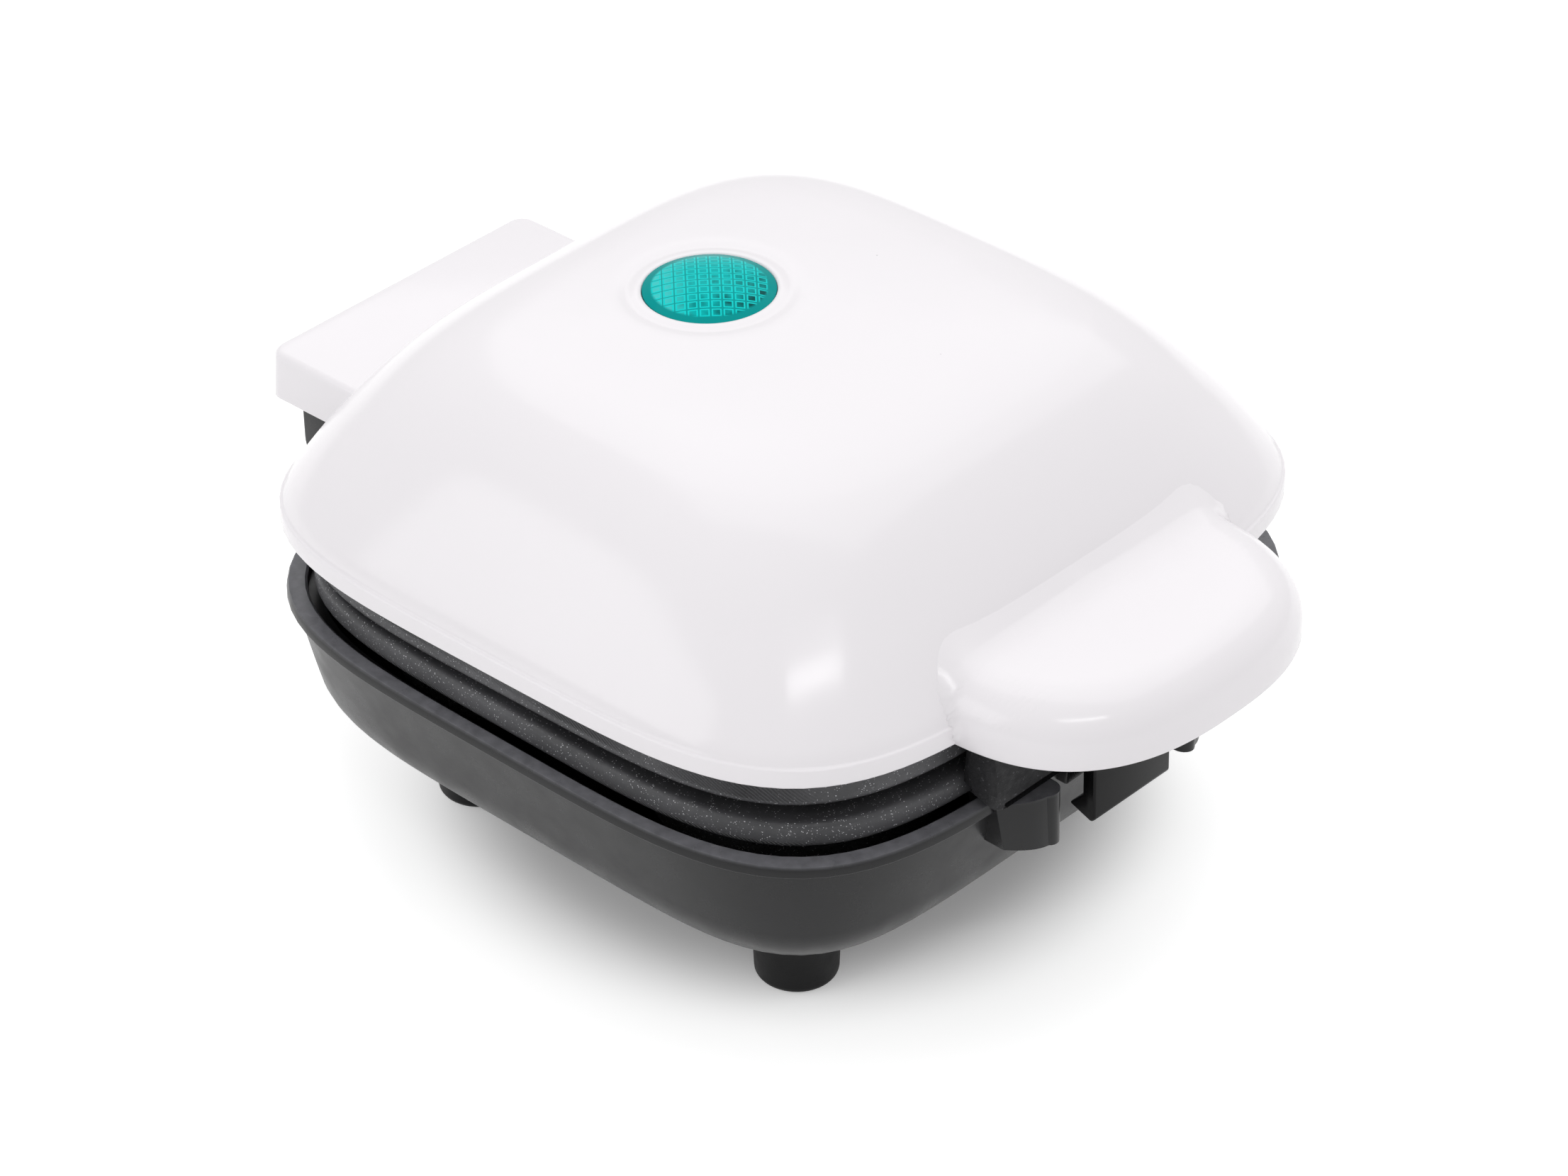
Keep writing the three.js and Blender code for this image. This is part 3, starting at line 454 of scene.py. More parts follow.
class Finish(Nodes):
    """A material in one of the cooker's colours, with its shader."""

    def __init__(self, name, colour_name, roughness, metallic=0.0, **extra):
        self.material = bpy.data.materials.new(name)
        self.material.use_nodes = True
        super().__init__(self.material.node_tree)
        self.colour = tuple(getattr(colours(), colour_name))
        self.shader = self.tree.nodes["Principled BSDF"]
        self.shade(Base_Color=self.colour, Roughness=roughness, Metallic=metallic, **extra)
        self.place = self.node("ShaderNodeTexCoord").outputs["Object"]

    def shade(self, **inputs):
        """Feeds the shader."""
        for name, value in inputs.items():
            self.feed(self.shader.inputs[name.replace("_", " ")], value)

    def facing(self):
        """The three parts of the surface's direction."""
        return self.split(self.node("ShaderNodeNewGeometry").outputs["Normal"])

    def noise(self, scale, detail, roughness=0.5, place=None):
        named = {"Scale": scale, "Detail": detail, "Roughness": roughness}
        return self.node("ShaderNodeTexNoise", place or self.place, named=named).outputs["Fac"]

    def cells(self, scale):
        made = self.node("ShaderNodeTexVoronoi", self.place, named={"Scale": scale})
        return made.outputs["Distance"]

    def tint(self, share):
        """The finish's colour, darker or paler."""
        return tuple(min(1.0, c * share) for c in self.colour)

    def clouds(self, noise, first, second, spread=0.15):
        """The finish's colour, drifting between two tints."""
        share = self.between(noise, 0.5 - spread, 0.5 + spread)
        return self.blended(share, self.tint(first), self.tint(second))

    def base(self, source):
        self.shade(Base_Color=source)

    def rough(self, noise, low, high):
        """Roughness that a noise moves from low to high."""
        self.shade(Roughness=self.between(noise, 0.3, 0.7, low, high))

    def bump(self, height, microns, strength, below=None):
        named = {"Distance": microns * 1e-6, "Strength": strength, "Height": height}
        if below is not None:
            named["Normal"] = below
        made = self.node("ShaderNodeBump", named=named)
        self.shade(Normal=made.outputs["Normal"])
        return made.outputs["Normal"]


def glossy_white():
    """Moulded gloss plastic with faint waves and tiny specks."""
    f = Finish("glossy_white", "white", 0.17, IOR=1.5)
    specks = f.between(f.cells(260), 0.035, 0.05, 1, 0)
    rare = f.between(f.noise(90, 1), 0.66, 0.7)
    f.base(f.blended(f.times(specks, rare), f.clouds(f.noise(14, 3), 0.985, 1), f.tint(0.72)))
    f.rough(f.noise(60, 3), 0.13, 0.2)
    waves = f.bump(f.noise(240, 2), 30, 0.5)
    f.bump(f.noise(1800, 1), 6, 0.6, waves)


def satin_black(name="satin_black", colour_name="satin", level=0.29, shine=0.34):
    """Moulded satin plastic with a fine grain, the top of its rim painted paler: a painted
    highlight of the light from above, mottled by noise.
    """
    f = Finish(name, colour_name, level, IOR=1.5, Specular_IOR_Level=shine)
    off_rim = f.apart(f.split(f.place)[2], rim_height())
    # painted highlight: faces that look up at the rim's height are painted far paler, as if lit
    # from above, mottled by noise
    top = f.math("MULTIPLY", f.between(off_rim, 0.2 * MM, 0.7 * MM, 1, 0), f.facing()[2], True)
    painted_rim_light = f.times(top, f.between(f.noise(420, 3), 0.3, 0.7, 0.7, 1.0))
    f.base(f.blended(painted_rim_light, f.clouds(f.noise(40, 4), 0.85, 1.2), f.tint(20)))
    f.rough(f.noise(150, 4), level - 0.05, level + 0.07)
    f.bump(f.noise(3200, 3), 20, 0.5)


def rough_black():
    """Coarse black plastic with pale specks."""
    f = Finish("rough_black", "rough", 0.68, Specular_IOR_Level=0.3)
    specks = f.between(f.cells(1300), 0.16, 0.3, 1, 0)
    patches = f.between(f.noise(700, 3), 0.5, 0.62, 0.0, 0.6)
    f.base(f.blended(f.times(specks, patches), f.colour, (0.12, 0.12, 0.13)))
    f.rough(f.noise(500, 3), 0.55, 0.8)
    grain = f.bump(f.noise(1500, 4, 0.65), 250, 0.8)
    f.bump(f.cells(900), 200, 0.4, grain)


def matt_rubber():
    f = Finish("matt_rubber", "rubber", 0.4, Specular_IOR_Level=0.25)
    f.base(f.clouds(f.noise(80, 4), 1, 1.6))
    f.rough(f.noise(260, 3), 0.36, 0.52)
    f.bump(f.noise(2600, 2), 30, 0.5)


def nonstick(name, low, high):
    """Dark coating full of bright flecks, with slanting tool marks on a band of the edge."""
    f = Finish(name, "coating", 0.42, metallic=0.15)
    across, along, height = f.split(f.place)
    dots = f.between(f.cells(2400), 0.18, 0.27, 1, 0)
    flecks = f.times(dots, f.between(f.noise(1700, 1), 0.5, 0.58))
    slant = f.math("ADD", f.math("SUBTRACT", along, across), f.times(height, -1.74))
    wobble = f.times(f.noise(45, 1), 0.006)
    marks = f.math("SINE", f.times(f.math("ADD", slant, wobble), 5400))
    half = (high - low) / 2
    band = f.between(f.apart(height, (low + high) / 2), half * 0.8, half, 1, 0)
    upright = f.between(f.math("ABSOLUTE", f.facing()[0]), 0.6, 0.9)
    shallow = f.between(f.noise(28, 2), 0.42, 0.56)
    share = f.times(f.times(band, upright), shallow)
    dark = f.times(f.between(marks, -0.5, 0.8), share)
    tone = f.blended(dark, f.clouds(f.noise(55, 3), 0.8, 1.3), f.tint(0.3))
    fleck = tuple(colours().fleck)
    f.base(f.blended(f.math("SUBTRACT", flecks, share, clamp=True), tone, fleck))
    f.rough(f.noise(900, 3), 0.36, 0.55)
    grain = f.bump(f.noise(2200, 3), 60, 0.6)
    f.bump(f.times(marks, share), 120, 0.9, grain)


def teal_lens():
    """Clear teal plastic over a moulded waffle of small squares, set at 45 degrees, with painted
    shade towards its lower right and a painted highlight on its left.
    """
    f = Finish("waffle_teal", "teal", 0.1, IOR=1.49, Specular_IOR_Level=0.04)
    centre = lid_place() @ Vector((0, sizes().lens_setback, sizes().dome_height))
    place = f.vector("SUBTRACT", f.place, centre)[0]
    named = {"Angle": math.radians(45)}
    turned = f.node("ShaderNodeVectorRotate", place, named=named, rotation_type="Z_AXIS").outputs[0]
    pitch = 2.1 * MM
    cells = [f.math("FRACT", f.math("DIVIDE", way, pitch)) for way in f.split(turned)[:2]]
    edge = f.math("MAXIMUM", *(f.apart(cell, 0.5) for cell in cells))
    line = f.between(f.apart(edge, 0.36), 0.05, 0.08, 1, 0)
    gap = f.between(edge, 0.44, 0.46)
    x, y, _ = f.split(place)
    slope = f.math("SUBTRACT", f.times(x, 0.1), y)
    # painted shade: the lens is painted darker towards its lower right, in patches from noise
    dark = f.between(slope, -2 * MM, 11 * MM, -0.2, 0.9)
    dark = f.math("ADD", dark, f.between(f.noise(330, 2), 0.3, 0.7, -0.5, 0.4), clamp=True)
    # painted highlight: the lens is painted paler towards its left
    pale = f.between(f.math("ADD", x, slope), -13 * MM, -5 * MM, 0.7, 0.0)
    flat = f.node("ShaderNodeCombineXYZ", x, y).outputs[0]
    rim = f.between(f.vector("LENGTH", flat)["Value"], 10.2 * MM, 10.7 * MM)
    body = f.colour
    # the painted shade and painted highlight are blended in with the waffle's own lines, gaps and
    # darker rim
    for share, tone in (
        (dark, f.tint(0.2)), (pale, (0.08, 0.62, 0.60)), (line, (0.005, 0.62, 0.60)),
        (gap, f.tint(0.75)), (rim, f.tint(0.68)),
    ):
        body = f.blended(share, body, tone)
    f.base(body)
    hill = f.between(edge, 0.30, 0.44, 1, 0)
    f.bump(f.times(hill, f.math("SUBTRACT", 1.0, rim)), 100, 0.2)


def metal(name, colour_name, level, scale=420):
    """Plated or rolled metal with fine lines and stains."""
    f = Finish(name, colour_name, level, metallic=1.0)
    stretch = f.node("ShaderNodeMapping", f.place, named={"Scale": (1, 12, 1)})
    lines = f.noise(scale, 3, 0.6, stretch.outputs[0])
    f.base(f.clouds(f.noise(60, 4), 0.82, 1, 0.2))
    f.rough(lines, level - 0.07, level + 0.1)
    f.bump(lines, 20, 0.4)


def ceramic():
    f = Finish("fired_ceramic", "ceramic", 0.6)
    f.base(f.clouds(f.noise(300, 4), 0.88, 1, 0.1))
    f.rough(f.noise(500, 2), 0.5, 0.7)
    f.bump(f.noise(1600, 3), 50, 0.5)


def lamp_glass():
    f = Finish("clear_lamp", "glass", 0.08, IOR=1.5, Transmission_Weight=0.6)
    f.base(f.clouds(f.noise(400, 2), 1, 0.9, 0.1))
    f.rough(f.noise(700, 2), 0.05, 0.12)


def finish(name):
    """Each finish is made once."""
    low = rim_height() + PLATE_LOW
    makers = {
        "glossy_white": glossy_white,
        "satin_black": satin_black,
        "gloss_black": lambda: satin_black(name, "rubber", 0.2, 0.15),
        "rough_black": rough_black,
        "matt_rubber": matt_rubber,
        "lower_coating": lambda: nonstick(name, low, low + 1.2 * MM),
        "upper_coating": lambda: nonstick(name, low + 9.2 * MM, low + 15 * MM),
        "waffle_teal": teal_lens,
        "plated_steel": lambda: metal(name, "steel", 0.3),
        "element_sheath": lambda: metal(name, "sheath", 0.5),
        "rolled_aluminium": lambda: metal(name, "aluminium", 0.32, 260),
        "fired_ceramic": ceramic,
        "clear_lamp": lamp_glass,
    }
    if name not in bpy.data.materials:
        makers[name]()
    return bpy.data.materials[name]


# Lid


def dome_power(height):
    s = sizes()
    rise = (height - s.band_height) / (s.shoulder_height - s.band_height)
    return SQUARENESS + (DOME_SQUARENESS - SQUARENESS) * min(max(rise, 0), 1)


def dome_lean():
    """How far the dome's wall leans in for each metre up."""
    s = sizes()
    return (s.shoulder_inset - WALL_STEP) / (s.shoulder_height - s.band_height - WALL_STEP)


def dome_wall():
    """The dome's outline from its edge to where the crown begins."""
    s = sizes()
    half, band = s.case_half, s.band_height
    edge = [(half - 0.9 * MM, 0)] + arc((half - 0.6 * MM, 0.6 * MM), 0.6 * MM, -70, 0, 4)
    bead = arc((half - 0.5 * MM, band - 0.75 * MM), 0.5 * MM, 0, 80, 4)
    groove = at((half, band), (-0.62, -0.05), (-0.72, 0.5))
    shoulder = (half - s.shoulder_inset, s.shoulder_height)
    belly = [(a + b) / 2 for a, b in zip(groove[-1], shoulder)]
    belly[0] += 2 * s.dome_bulge
    steps = bend(groove[-1], belly, shoulder, 8)[1:-1]
    crown = (half - s.crown_inset, s.crown_height)
    slope = 2 * (s.dome_height - s.crown_height) / crown[0]
    lean = (belly[0] - shoulder[0]) / (shoulder[1] - belly[1])
    rise = (crown[1] - shoulder[1] - slope * (shoulder[0] - crown[0])) / (1 - slope * lean)
    middle = (shoulder[0] - rise * lean, shoulder[1] + rise)
    return edge + bead + groove + steps + bend(shoulder, middle, crown, 18)


def front_of_dome(x, z):
    """How far out the dome's front stands at a place across it and a height."""
    s = sizes()
    z = max(z, 0)
    if z < s.band_height:
        reach = s.case_half
    else:
        rise = min((z - s.band_height) / (s.shoulder_height - s.band_height), 1)
        reach = s.case_half - WALL_STEP - (z - s.band_height) * dome_lean()
        reach += 4 * s.dome_bulge * rise * (1 - rise)
    power = dome_power(z)
    share = min(abs(x) / reach, 0.98)
    return reach * (1 - share ** power) ** (1 / power)


def dome_form():
    """The dome with its hole for the lens: rings around the lens that widen to the rim."""
    s = sizes()
    lens_y, hole = s.lens_setback, s.lens_radius + 0.08 * MM
    wall = dome_wall()
    moat = at(
        (hole, 0), (0, -3.4), (0, -0.55), (0.12, -0.2), (0.4, -0.02), (0.9, 0), (1.4, -0.06),
        (2.0, -0.22), (2.6, -0.32), (3.2, -0.24), (3.9, -0.08), (4.8, 0), (6.5, 0),
    )
    first, last = wall[-1][0] + 5.5 * MM, moat[-1][0]
    rings = [("lens", radius, drop) for radius, drop in moat]
    rings += [("between", share, (last, first)) for share in (0.14, 0.28, 0.42, 0.56, 0.7, 0.85)]
    rings += [("ring", *p) for p in reversed([p for p in wall if p[0] > first - 0.1 * MM])]
    bm = spun([(k + 1, 0) for k in range(len(rings))], 160)
    for v in bm.verts:
        angle = math.atan2(v.co.y, v.co.x)
        cos, sin = math.cos(angle), math.sin(angle)
        kind, reach, extra = rings[round(math.hypot(v.co.x, v.co.y)) - 1]
        if kind == "ring":
            out = reach * ring_reach(angle, dome_power(extra))
            v.co = Vector((out * cos, out * sin, extra))
            continue
        if kind == "lens":
            x, y, drop = reach * cos, lens_y + reach * sin, extra
        else:
            near, far = extra
            far *= ring_reach(angle, DOME_SQUARENESS)
            x = (1 - reach) * near * cos + reach * far * cos
            y = (1 - reach) * (lens_y + near * sin) + reach * far * sin
            drop = 0
        v.co = Vector((x, y, dome_top(x, y) + drop))
    outward(bm)
    if sum(f.normal.z for f in bm.faces) < 0:
        bmesh.ops.reverse_faces(bm, faces=bm.faces)
    return bm


def dome_top(x, y):
    """Height of the lid over a place inside the shoulder."""
    s = sizes()
    reach = (abs(x) ** DOME_SQUARENESS + abs(y) ** DOME_SQUARENESS) ** (1 / DOME_SQUARENESS)
    crown = s.case_half - s.crown_inset
    if reach <= crown:
        return s.dome_height - (s.dome_height - s.crown_height) * (reach / crown) ** 2
    points = dome_wall()
    for (r0, z0), (r1, z1) in zip(points, points[1:]):
        if r1 <= reach <= r0 and z0 >= s.shoulder_height - 1e-9:
            return z0 + (z1 - z0) * (r0 - reach) / (r0 - r1)
    return s.shoulder_height


def handle_form():
    """A broad nose with upright sides, flared where it grows out of the dome."""
    s = sizes()
    root = s.case_half - 5 * MM
    depth = s.handle_reach + 5 * MM
    half, fillet, top, wall = s.handle_half, s.handle_fillet, s.handle_height, 2.5 * MM
    flat = half - fillet
    outside = [(flat * t, top) for t in (0, 0.2, 0.4, 0.6, 0.8, 0.93)]
    outside += arc((flat, top - fillet), fillet, 90, 0, 10)
    outside += [(half, 1.6 * MM)] + arc((half - 0.5 * MM, 0.5 * MM), 0.5 * MM, 0, -90, 3)
    inside = [(half - wall, 0), (half - wall, top - fillet)]
    inside += arc((flat, top - fillet), fillet - wall, 20, 90, 4)
    inside += [(0, top - wall)]
    bm = spun(outside + inside, 72, math.pi)
    for v in bm.verts:
        r = math.hypot(v.co.x, v.co.y)
        angle = math.atan2(v.co.y, v.co.x)
        if r < 1e-9:
            v.co.y = -root
            continue
        reach = depth - (half - r) if r > flat else (depth - fillet) * r / flat
        across, along = math.cos(angle), max(math.sin(angle), 0)
        v.co.x = math.copysign(abs(across) ** HANDLE_POWER, across) * r
        v.co.y = -root - reach * along ** HANDLE_POWER
    bmesh.ops.remove_doubles(bm, verts=bm.verts, dist=1e-6)
    boundary = [e for e in bm.edges if len(e.link_faces) == 1]
    grown = grown_verts(bmesh.ops.extrude_edge_only(bm, edges=boundary))
    bmesh.ops.translate(bm, verts=grown, vec=(0, 9 * MM, 0))
    outward(bm)
    normal = Vector((0, 1, dome_lean())).normalized()
    for step in range(22):
        out = (-6.5 + 0.65 * step) * MM
        bmesh.ops.bisect_plane(
            bm, geom=bm.verts[:] + bm.edges[:] + bm.faces[:], dist=1e-7,
            plane_co=(0, -s.case_half - out, s.band_height), plane_no=normal,
        )
    blend_root(bm, 1.3 * MM, 11 * MM)
    return bm


def blend_root(bm, side_radius, top_radius):
    """Rounds the corner between the handle and the dome's wall, tight at the handle's
    sides and wide along its top."""
    bm.normal_update()
    lean = math.atan(1.08 * dome_lean())
    moves = []
    for v in bm.verts:
        gap = -front_of_dome(v.co.x, v.co.z) - v.co.y
        up = max(v.normal.z, 0)
        sunk = -0.9 * MM - up * 0.5 * top_radius
        radius = side_radius + (top_radius - side_radius) * up * up
        near = radius / math.tan((math.pi / 2 + lean * up) / 2) - max(gap, sunk)
        shift = Vector()
        if near > 0 and v.co.z > 0.8 * MM:
            most = (0.98 - 0.05 * (1 - up)) * radius * math.cos(lean * up)
            over, near = max(near - most, 0), min(near, most)
            left = math.sqrt(radius * radius - near * near)
            shift = v.normal * (radius - left + 0.7 * up * over * near / left)
            shift.y = 0
        if gap < sunk:
            shift.y = gap - sunk
        moves.append((v, shift))
    for v, shift in moves:
        v.co += shift


def cover_form():
    """The flat cover over the hinge, open below."""
    s = sizes()
    back = s.case_half + s.cover_reach
    front, low, top = s.case_half - 8 * MM, -3.2 * MM, 6 * MM
    corner = 3.4 * MM
    plan = [(-s.cover_half, front), (s.cover_half, front), (s.cover_half, back - corner)]
    plan += arc((s.cover_half - corner, back - corner), corner, 0, 90, 6)[1:]
    plan += arc((corner - s.cover_half, back - corner), corner, 90, 180, 6)
    bm = prism(plan, low, top)
    for v in bm.verts:
        if v.co.z > top - 1e-6:
            v.co.x -= math.copysign(0.8 * MM, v.co.x)
    soften(bm, 1.3 * MM, 4, 50, lambda e: min(v.co.z for v in e.verts) > top - 1e-6)
    under = [f for f in bm.faces if f.normal.z < -0.9]
    bmesh.ops.inset_region(bm, faces=under, thickness=s.wall, depth=0)
    under = [f for f in bm.faces if f.normal.z < -0.9 and len(f.verts) > 8]
    rise = bmesh.ops.extrude_discrete_faces(bm, faces=under)
    for face in rise["faces"]:
        bmesh.ops.translate(bm, verts=face.verts, vec=(0, 0, top - low - s.wall))
    outward(bm)
    for v in bm.verts:
        if v.co.y < front + 1 * MM:
            v.co.y = front_of_dome(v.co.x, v.co.z) - 1.2 * MM
    return bm


def build_lid():
    dome = dome_form()
    bmesh.ops.solidify(dome, geom=dome.faces[:], thickness=sizes().wall * 0.9)
    whole = gathered(outward(dome), handle_form(), cover_form())
    shown(whole, "lid_cover", "lid", ["lid_shell"], "glossy_white", 40)


def build_lens():
    s = sizes()
    seat = dome_top(0, s.lens_setback) - 0.3 * MM
    radius, crown, low = s.lens_radius, 2 * MM, seat - 2.6 * MM
    points = [(radius * i / 12, seat + crown * (1 - (i / 12) ** 2.2)) for i in range(13)]
    bm = moved(spun(points + [(radius, low), (0, low)], 96), 0, s.lens_setback, 0)
    shown(bm, "lens_cap", "lid", ["indicator_lens"], "waffle_teal")


def build_insert():
    """The rough cover under the handle, its wall behind the latch and the latch's ears."""
    s = sizes()
    out, reach = 2.7 * MM, s.case_half
    half, foot, drop, corner = s.handle_half - 4.5 * MM, s.handle_half - 5.4 * MM, 16.1 * MM, 4 * MM
    profile = [(half, 2.2 * MM), (-half, 2.2 * MM)]
    profile += arc((corner - foot, corner - drop), corner, 172, 270, 8)
    profile += arc((foot - corner, corner - drop), corner, 270, 368, 8)
    wall = prism(profile, reach - out, reach + out)
    wall.transform(Matrix.Rotation(math.pi / 2, 4, "X"))
    soften(wall, 1.1 * MM, 4, 50)
    outline = []
    inset, root, back = 2.9 * MM, -reach + 5 * MM, -reach - 0.4 * MM
    depth, wide = s.handle_reach + 5 * MM - inset, s.handle_half - inset
    for i in range(49):
        a = math.pi * i / 48
        x = -wide * math.copysign(abs(math.cos(a)) ** HANDLE_POWER, math.cos(a))
        outline.append((x, root - depth * math.sin(a) ** HANDLE_POWER))
    outline = [p for p in outline if p[1] < back]
    outline = [(outline[0][0], back), *outline, (outline[-1][0], back)]
    floor = soften(prism(outline, 0.3 * MM, 2.3 * MM), 0.4 * MM, 2, 50)
    axis = -reach - LATCH_OUT, LATCH_HEIGHT
    pair = ears(*axis, LATCH_HUB, 0.8 * MM, 12, 11.1 * MM, 13.9 * MM, 0.35 * MM, 2, 50)
    shown(
        gathered(wall, floor, *pair), "handle_underside", "lid", ["handle_insert"],
        "rough_black",
    )


def build_latch():
    y, z, thick, half = -sizes().case_half - LATCH_OUT, LATCH_HEIGHT, 2.8 * MM, 10.2 * MM
    low, back = z - 23.5 * MM, y + thick
    profile = [(y, z), *at((y, low), (0, 0.84), (0.84, 0))]
    profile += [*at((back, low), (3, 1.96), (0, 5)), (back, z)]
    arm = soften(side_prism(profile, -half, half), 0.45 * MM, 4, 25)
    pivot = soften(rod(LATCH_HUB, -half, half, 40, "X", (y, z)), 0.5 * MM, 3, 50)
    ribs = []
    for x in (-6 * MM, 0, 6 * MM):
        near = (x - 0.7 * MM, back - 0.4 * MM, low + 6 * MM)
        far = (x + 0.7 * MM, back + 1.2 * MM, z - 13.2 * MM)
        ribs.append(soften(block(near, far), 0.3 * MM, 2))
    shown(
        gathered(arm, pivot, *ribs), "snap_clip", "latch", ["latch_clip"],
        "gloss_black",
    )


def build_bracket():
    s = sizes()
    axis = s.case_half + HINGE_OUT, hinge.z - rim_height() - s.lid_gap
    top, outer = 6 * MM - s.wall - 0.3 * MM, s.cover_half - 2.6 * MM
    near = (-outer, axis[0] - 7.3 * MM, top - 2.6 * MM)
    plate = soften(block(near, (outer, s.case_half + 21.7 * MM, top)), 0.5 * MM)
    knuckles = ears(*axis, HINGE_RADIUS, top - 1 * MM, 24, 18.8 * MM, outer, 0.7 * MM, 3, 50)
    bore = rod(HINGE_BORE, -40 * MM, 40 * MM, 32, "X", axis)
    shown(
        carved(gathered(plate, *knuckles), bore), "hinge_arms", "lid", ["hinge_bracket"],
        "satin_black",
    )


# Base


def bowl_wall(inset):
    """The bowl's outline from the middle of its floor to under the lip."""
    s = sizes()
    draft = 16.5
    slope = math.tan(math.radians(draft))
    crease = rim_height() - s.lip_height
    edge = s.case_half - 1.3 * MM - inset
    centre_z = s.foot_height + s.bowl_fillet
    radius = s.bowl_fillet - inset
    centre = edge - (crease - centre_z) * slope - radius / math.cos(math.radians(draft))
    points = [(0, s.foot_height + inset), (centre * 0.6, s.foot_height + inset)]
    points += arc((centre, centre_z), radius, -90, -draft, 16)
    rise = crease - points[-1][1]
    return points + [(edge - rise * t * slope, crease - rise * t) for t in (0.66, 0.33, 0)]


def bowl_power(height):
    """The bowl is squarer at its floor than at its rim."""
    s = sizes()
    rise = (height - s.foot_height) / (s.bowl_height - s.lip_height)
    return FLOOR_SQUARENESS + (SQUARENESS - FLOOR_SQUARENESS) * min(max(rise, 0), 1)


def build_base():
    s = sizes()
    rim, half = rim_height(), s.case_half
    lip = rim - s.lip_height
    outer = bowl_wall(0) + at((half, lip), (-0.8, 0.1))
    outer += arc((half - 0.5 * MM, lip + 0.55 * MM), 0.4 * MM, -70, 8, 4)
    outer += at(
        (half, rim), (-0.25, -0.55), (-0.45, -0.15), (-0.8, 0), (-2.9, 0), (-3.3, -0.35),
        (-3.4, -2.4), (-5.6, -2.6),
    )
    bowl = squared(outer + list(reversed(bowl_wall(s.wall))), power_at=bowl_power)
    bowl = carved(bowl, *screw_holes(10 * MM, 22 * MM))

    axis_y, knuckle = half + HINGE_OUT, 18.5 * MM
    axis = axis_y, hinge.z
    profile = at((axis_y, rim), (0, -26), (0, -5), (-1, 0))
    profile += at((half, rim), (-3.3, 0), (-12, -4), (-10, -26))
    web = soften(side_prism(profile, -knuckle, knuckle), 1.1 * MM, 4)
    barrel = soften(rod(HINGE_RADIUS, -knuckle, knuckle, 56, "X", axis), 0.6 * MM, 3, 50)
    near = (-9 * MM, -half + 0.1 * MM, rim - 6.8 * MM)
    catch = soften(block(near, (9 * MM, -half + 5 * MM, rim - 1.3 * MM)), 0.5 * MM)
    tube = at((0, 0), (3.2, 16.2), (5, 17), (5, 40.4), (1.5, 40.4), (1.5, 28), (3.2, 28))
    tube.append(tube[0])
    tubes = [moved(spun(tube, 28), x, y, 0) for x, y in SCREWS.values()]
    bore = rod(HINGE_BORE, -40 * MM, 40 * MM, 32, "X", axis)
    socket = rod(5.3 * MM, axis_y - 8.3 * MM, axis_y + 2 * MM, 40, "Y", (0, rim - CORD_DROP))
    whole = gathered(
        bowl, carved(web, socket), carved(barrel, bore), lug_form(-1), lug_form(1), catch, *tubes
    )
    shown(whole, "bowl", "base", ["base_shell"], "satin_black", 32)


def lug_form(sign):
    """A lug under the front rim: a round nose beside the latch that runs back into the bowl."""
    rim, half = rim_height(), sizes().case_half
    inner, outer, reach, height = 16.2 * MM, 28.4 * MM, 5.8 * MM, 11 * MM
    nose, tip = 2.6 * MM, inner + 2.6 * MM
    side = at((outer, -half), (0, -0.3), (-4, -4.6)) + at((tip, -half), (1.8, -5.1))
    side = bend(*side, 8)
    front = arc((tip, -half - reach + nose), nose, 315, 180, 9)
    plan = [(outer, -half + 6 * MM), *side, *front, (inner, -half + 6 * MM)]
    lug = prism([(sign * x, y) for x, y in plan], rim - height, rim - 0.05 * MM)
    soften(lug, 2.2 * MM, 6, 50, lambda e: max(v.co.z for v in e.verts) < rim - 5 * MM)
    soften(lug, 0.6 * MM, 3, 50, lambda e: min(v.co.z for v in e.verts) > rim - 1 * MM)
    for v in lug.verts:
        fall = (rim - v.co.z) / height
        v.co.x = sign * (inner + (abs(v.co.x) - inner) * (1 - 0.2 * fall))
    return lug


def build_feet():
    rim = 1.6 * MM
    points = at((0, 0), (0, 0), (5.7, 0)) + arc((6 * MM, rim), rim, -80, -3, 6)
    points += at(
        (0, sizes().foot_height), (8.2, -0.02), (3, 0), (3, 2.5), (4.3, 2.5), (3, 4.7), (0, 4.7)
    )
    for corner, (sx, sy) in CORNERS.items():
        bm = moved(spun(points, 48), sx * FOOT_REACH, sy * FOOT_REACH, 0)
        name = f"rubber_foot_{corner}"
        shown(bm, name, "base", [f"foot_{corner}"], "matt_rubber")


def build_gland():
    points = at((0, 0), (1.9, -8), (5, -8), (5, 0.3), (6.2, 0.3))
    points += arc((5.9 * MM, 2.2 * MM), 0.6 * MM, -10, 90, 4) + at((0, 0), (1.9, 2.8), (1.9, -8))
    bm = spun(points, 48)
    bm.transform(Matrix.Rotation(-math.pi / 2, 4, "X"))
    moved(bm, 0, sizes().case_half + HINGE_OUT, rim_height() - CORD_DROP)
    shown(bm, "cord_entry", "base", ["cord_gland"], "matt_rubber")


# Cup plates


def cup_form(depth, grow, closed_by):
    """A cup hanging down from height zero, with a rounded floor and a rolled mouth."""
    s = sizes()
    mouth, floor = s.cup_radius + grow, s.cup_radius - 3 * MM + grow
    bowl = 6.75 * MM if depth > 12 * MM else 4.2 * MM
    lean = (mouth - floor) / depth
    points = [(0, -depth), (floor - bowl, -depth)]
    points += arc((floor - bowl + 0.3 * MM, bowl - depth), bowl, -88, -4, 10)
    if closed_by:
        points += [(mouth - lean * 1.2 * MM, -1.2 * MM)]
        points += arc((mouth + 1.1 * MM, -1.15 * MM), 1.15 * MM, 176, 92, 5)
        points += [(mouth + 1.2 * MM, closed_by), (0, closed_by)]
    else:
        points += [(mouth, 0), (0, 0)]
    return spun(points, 72)


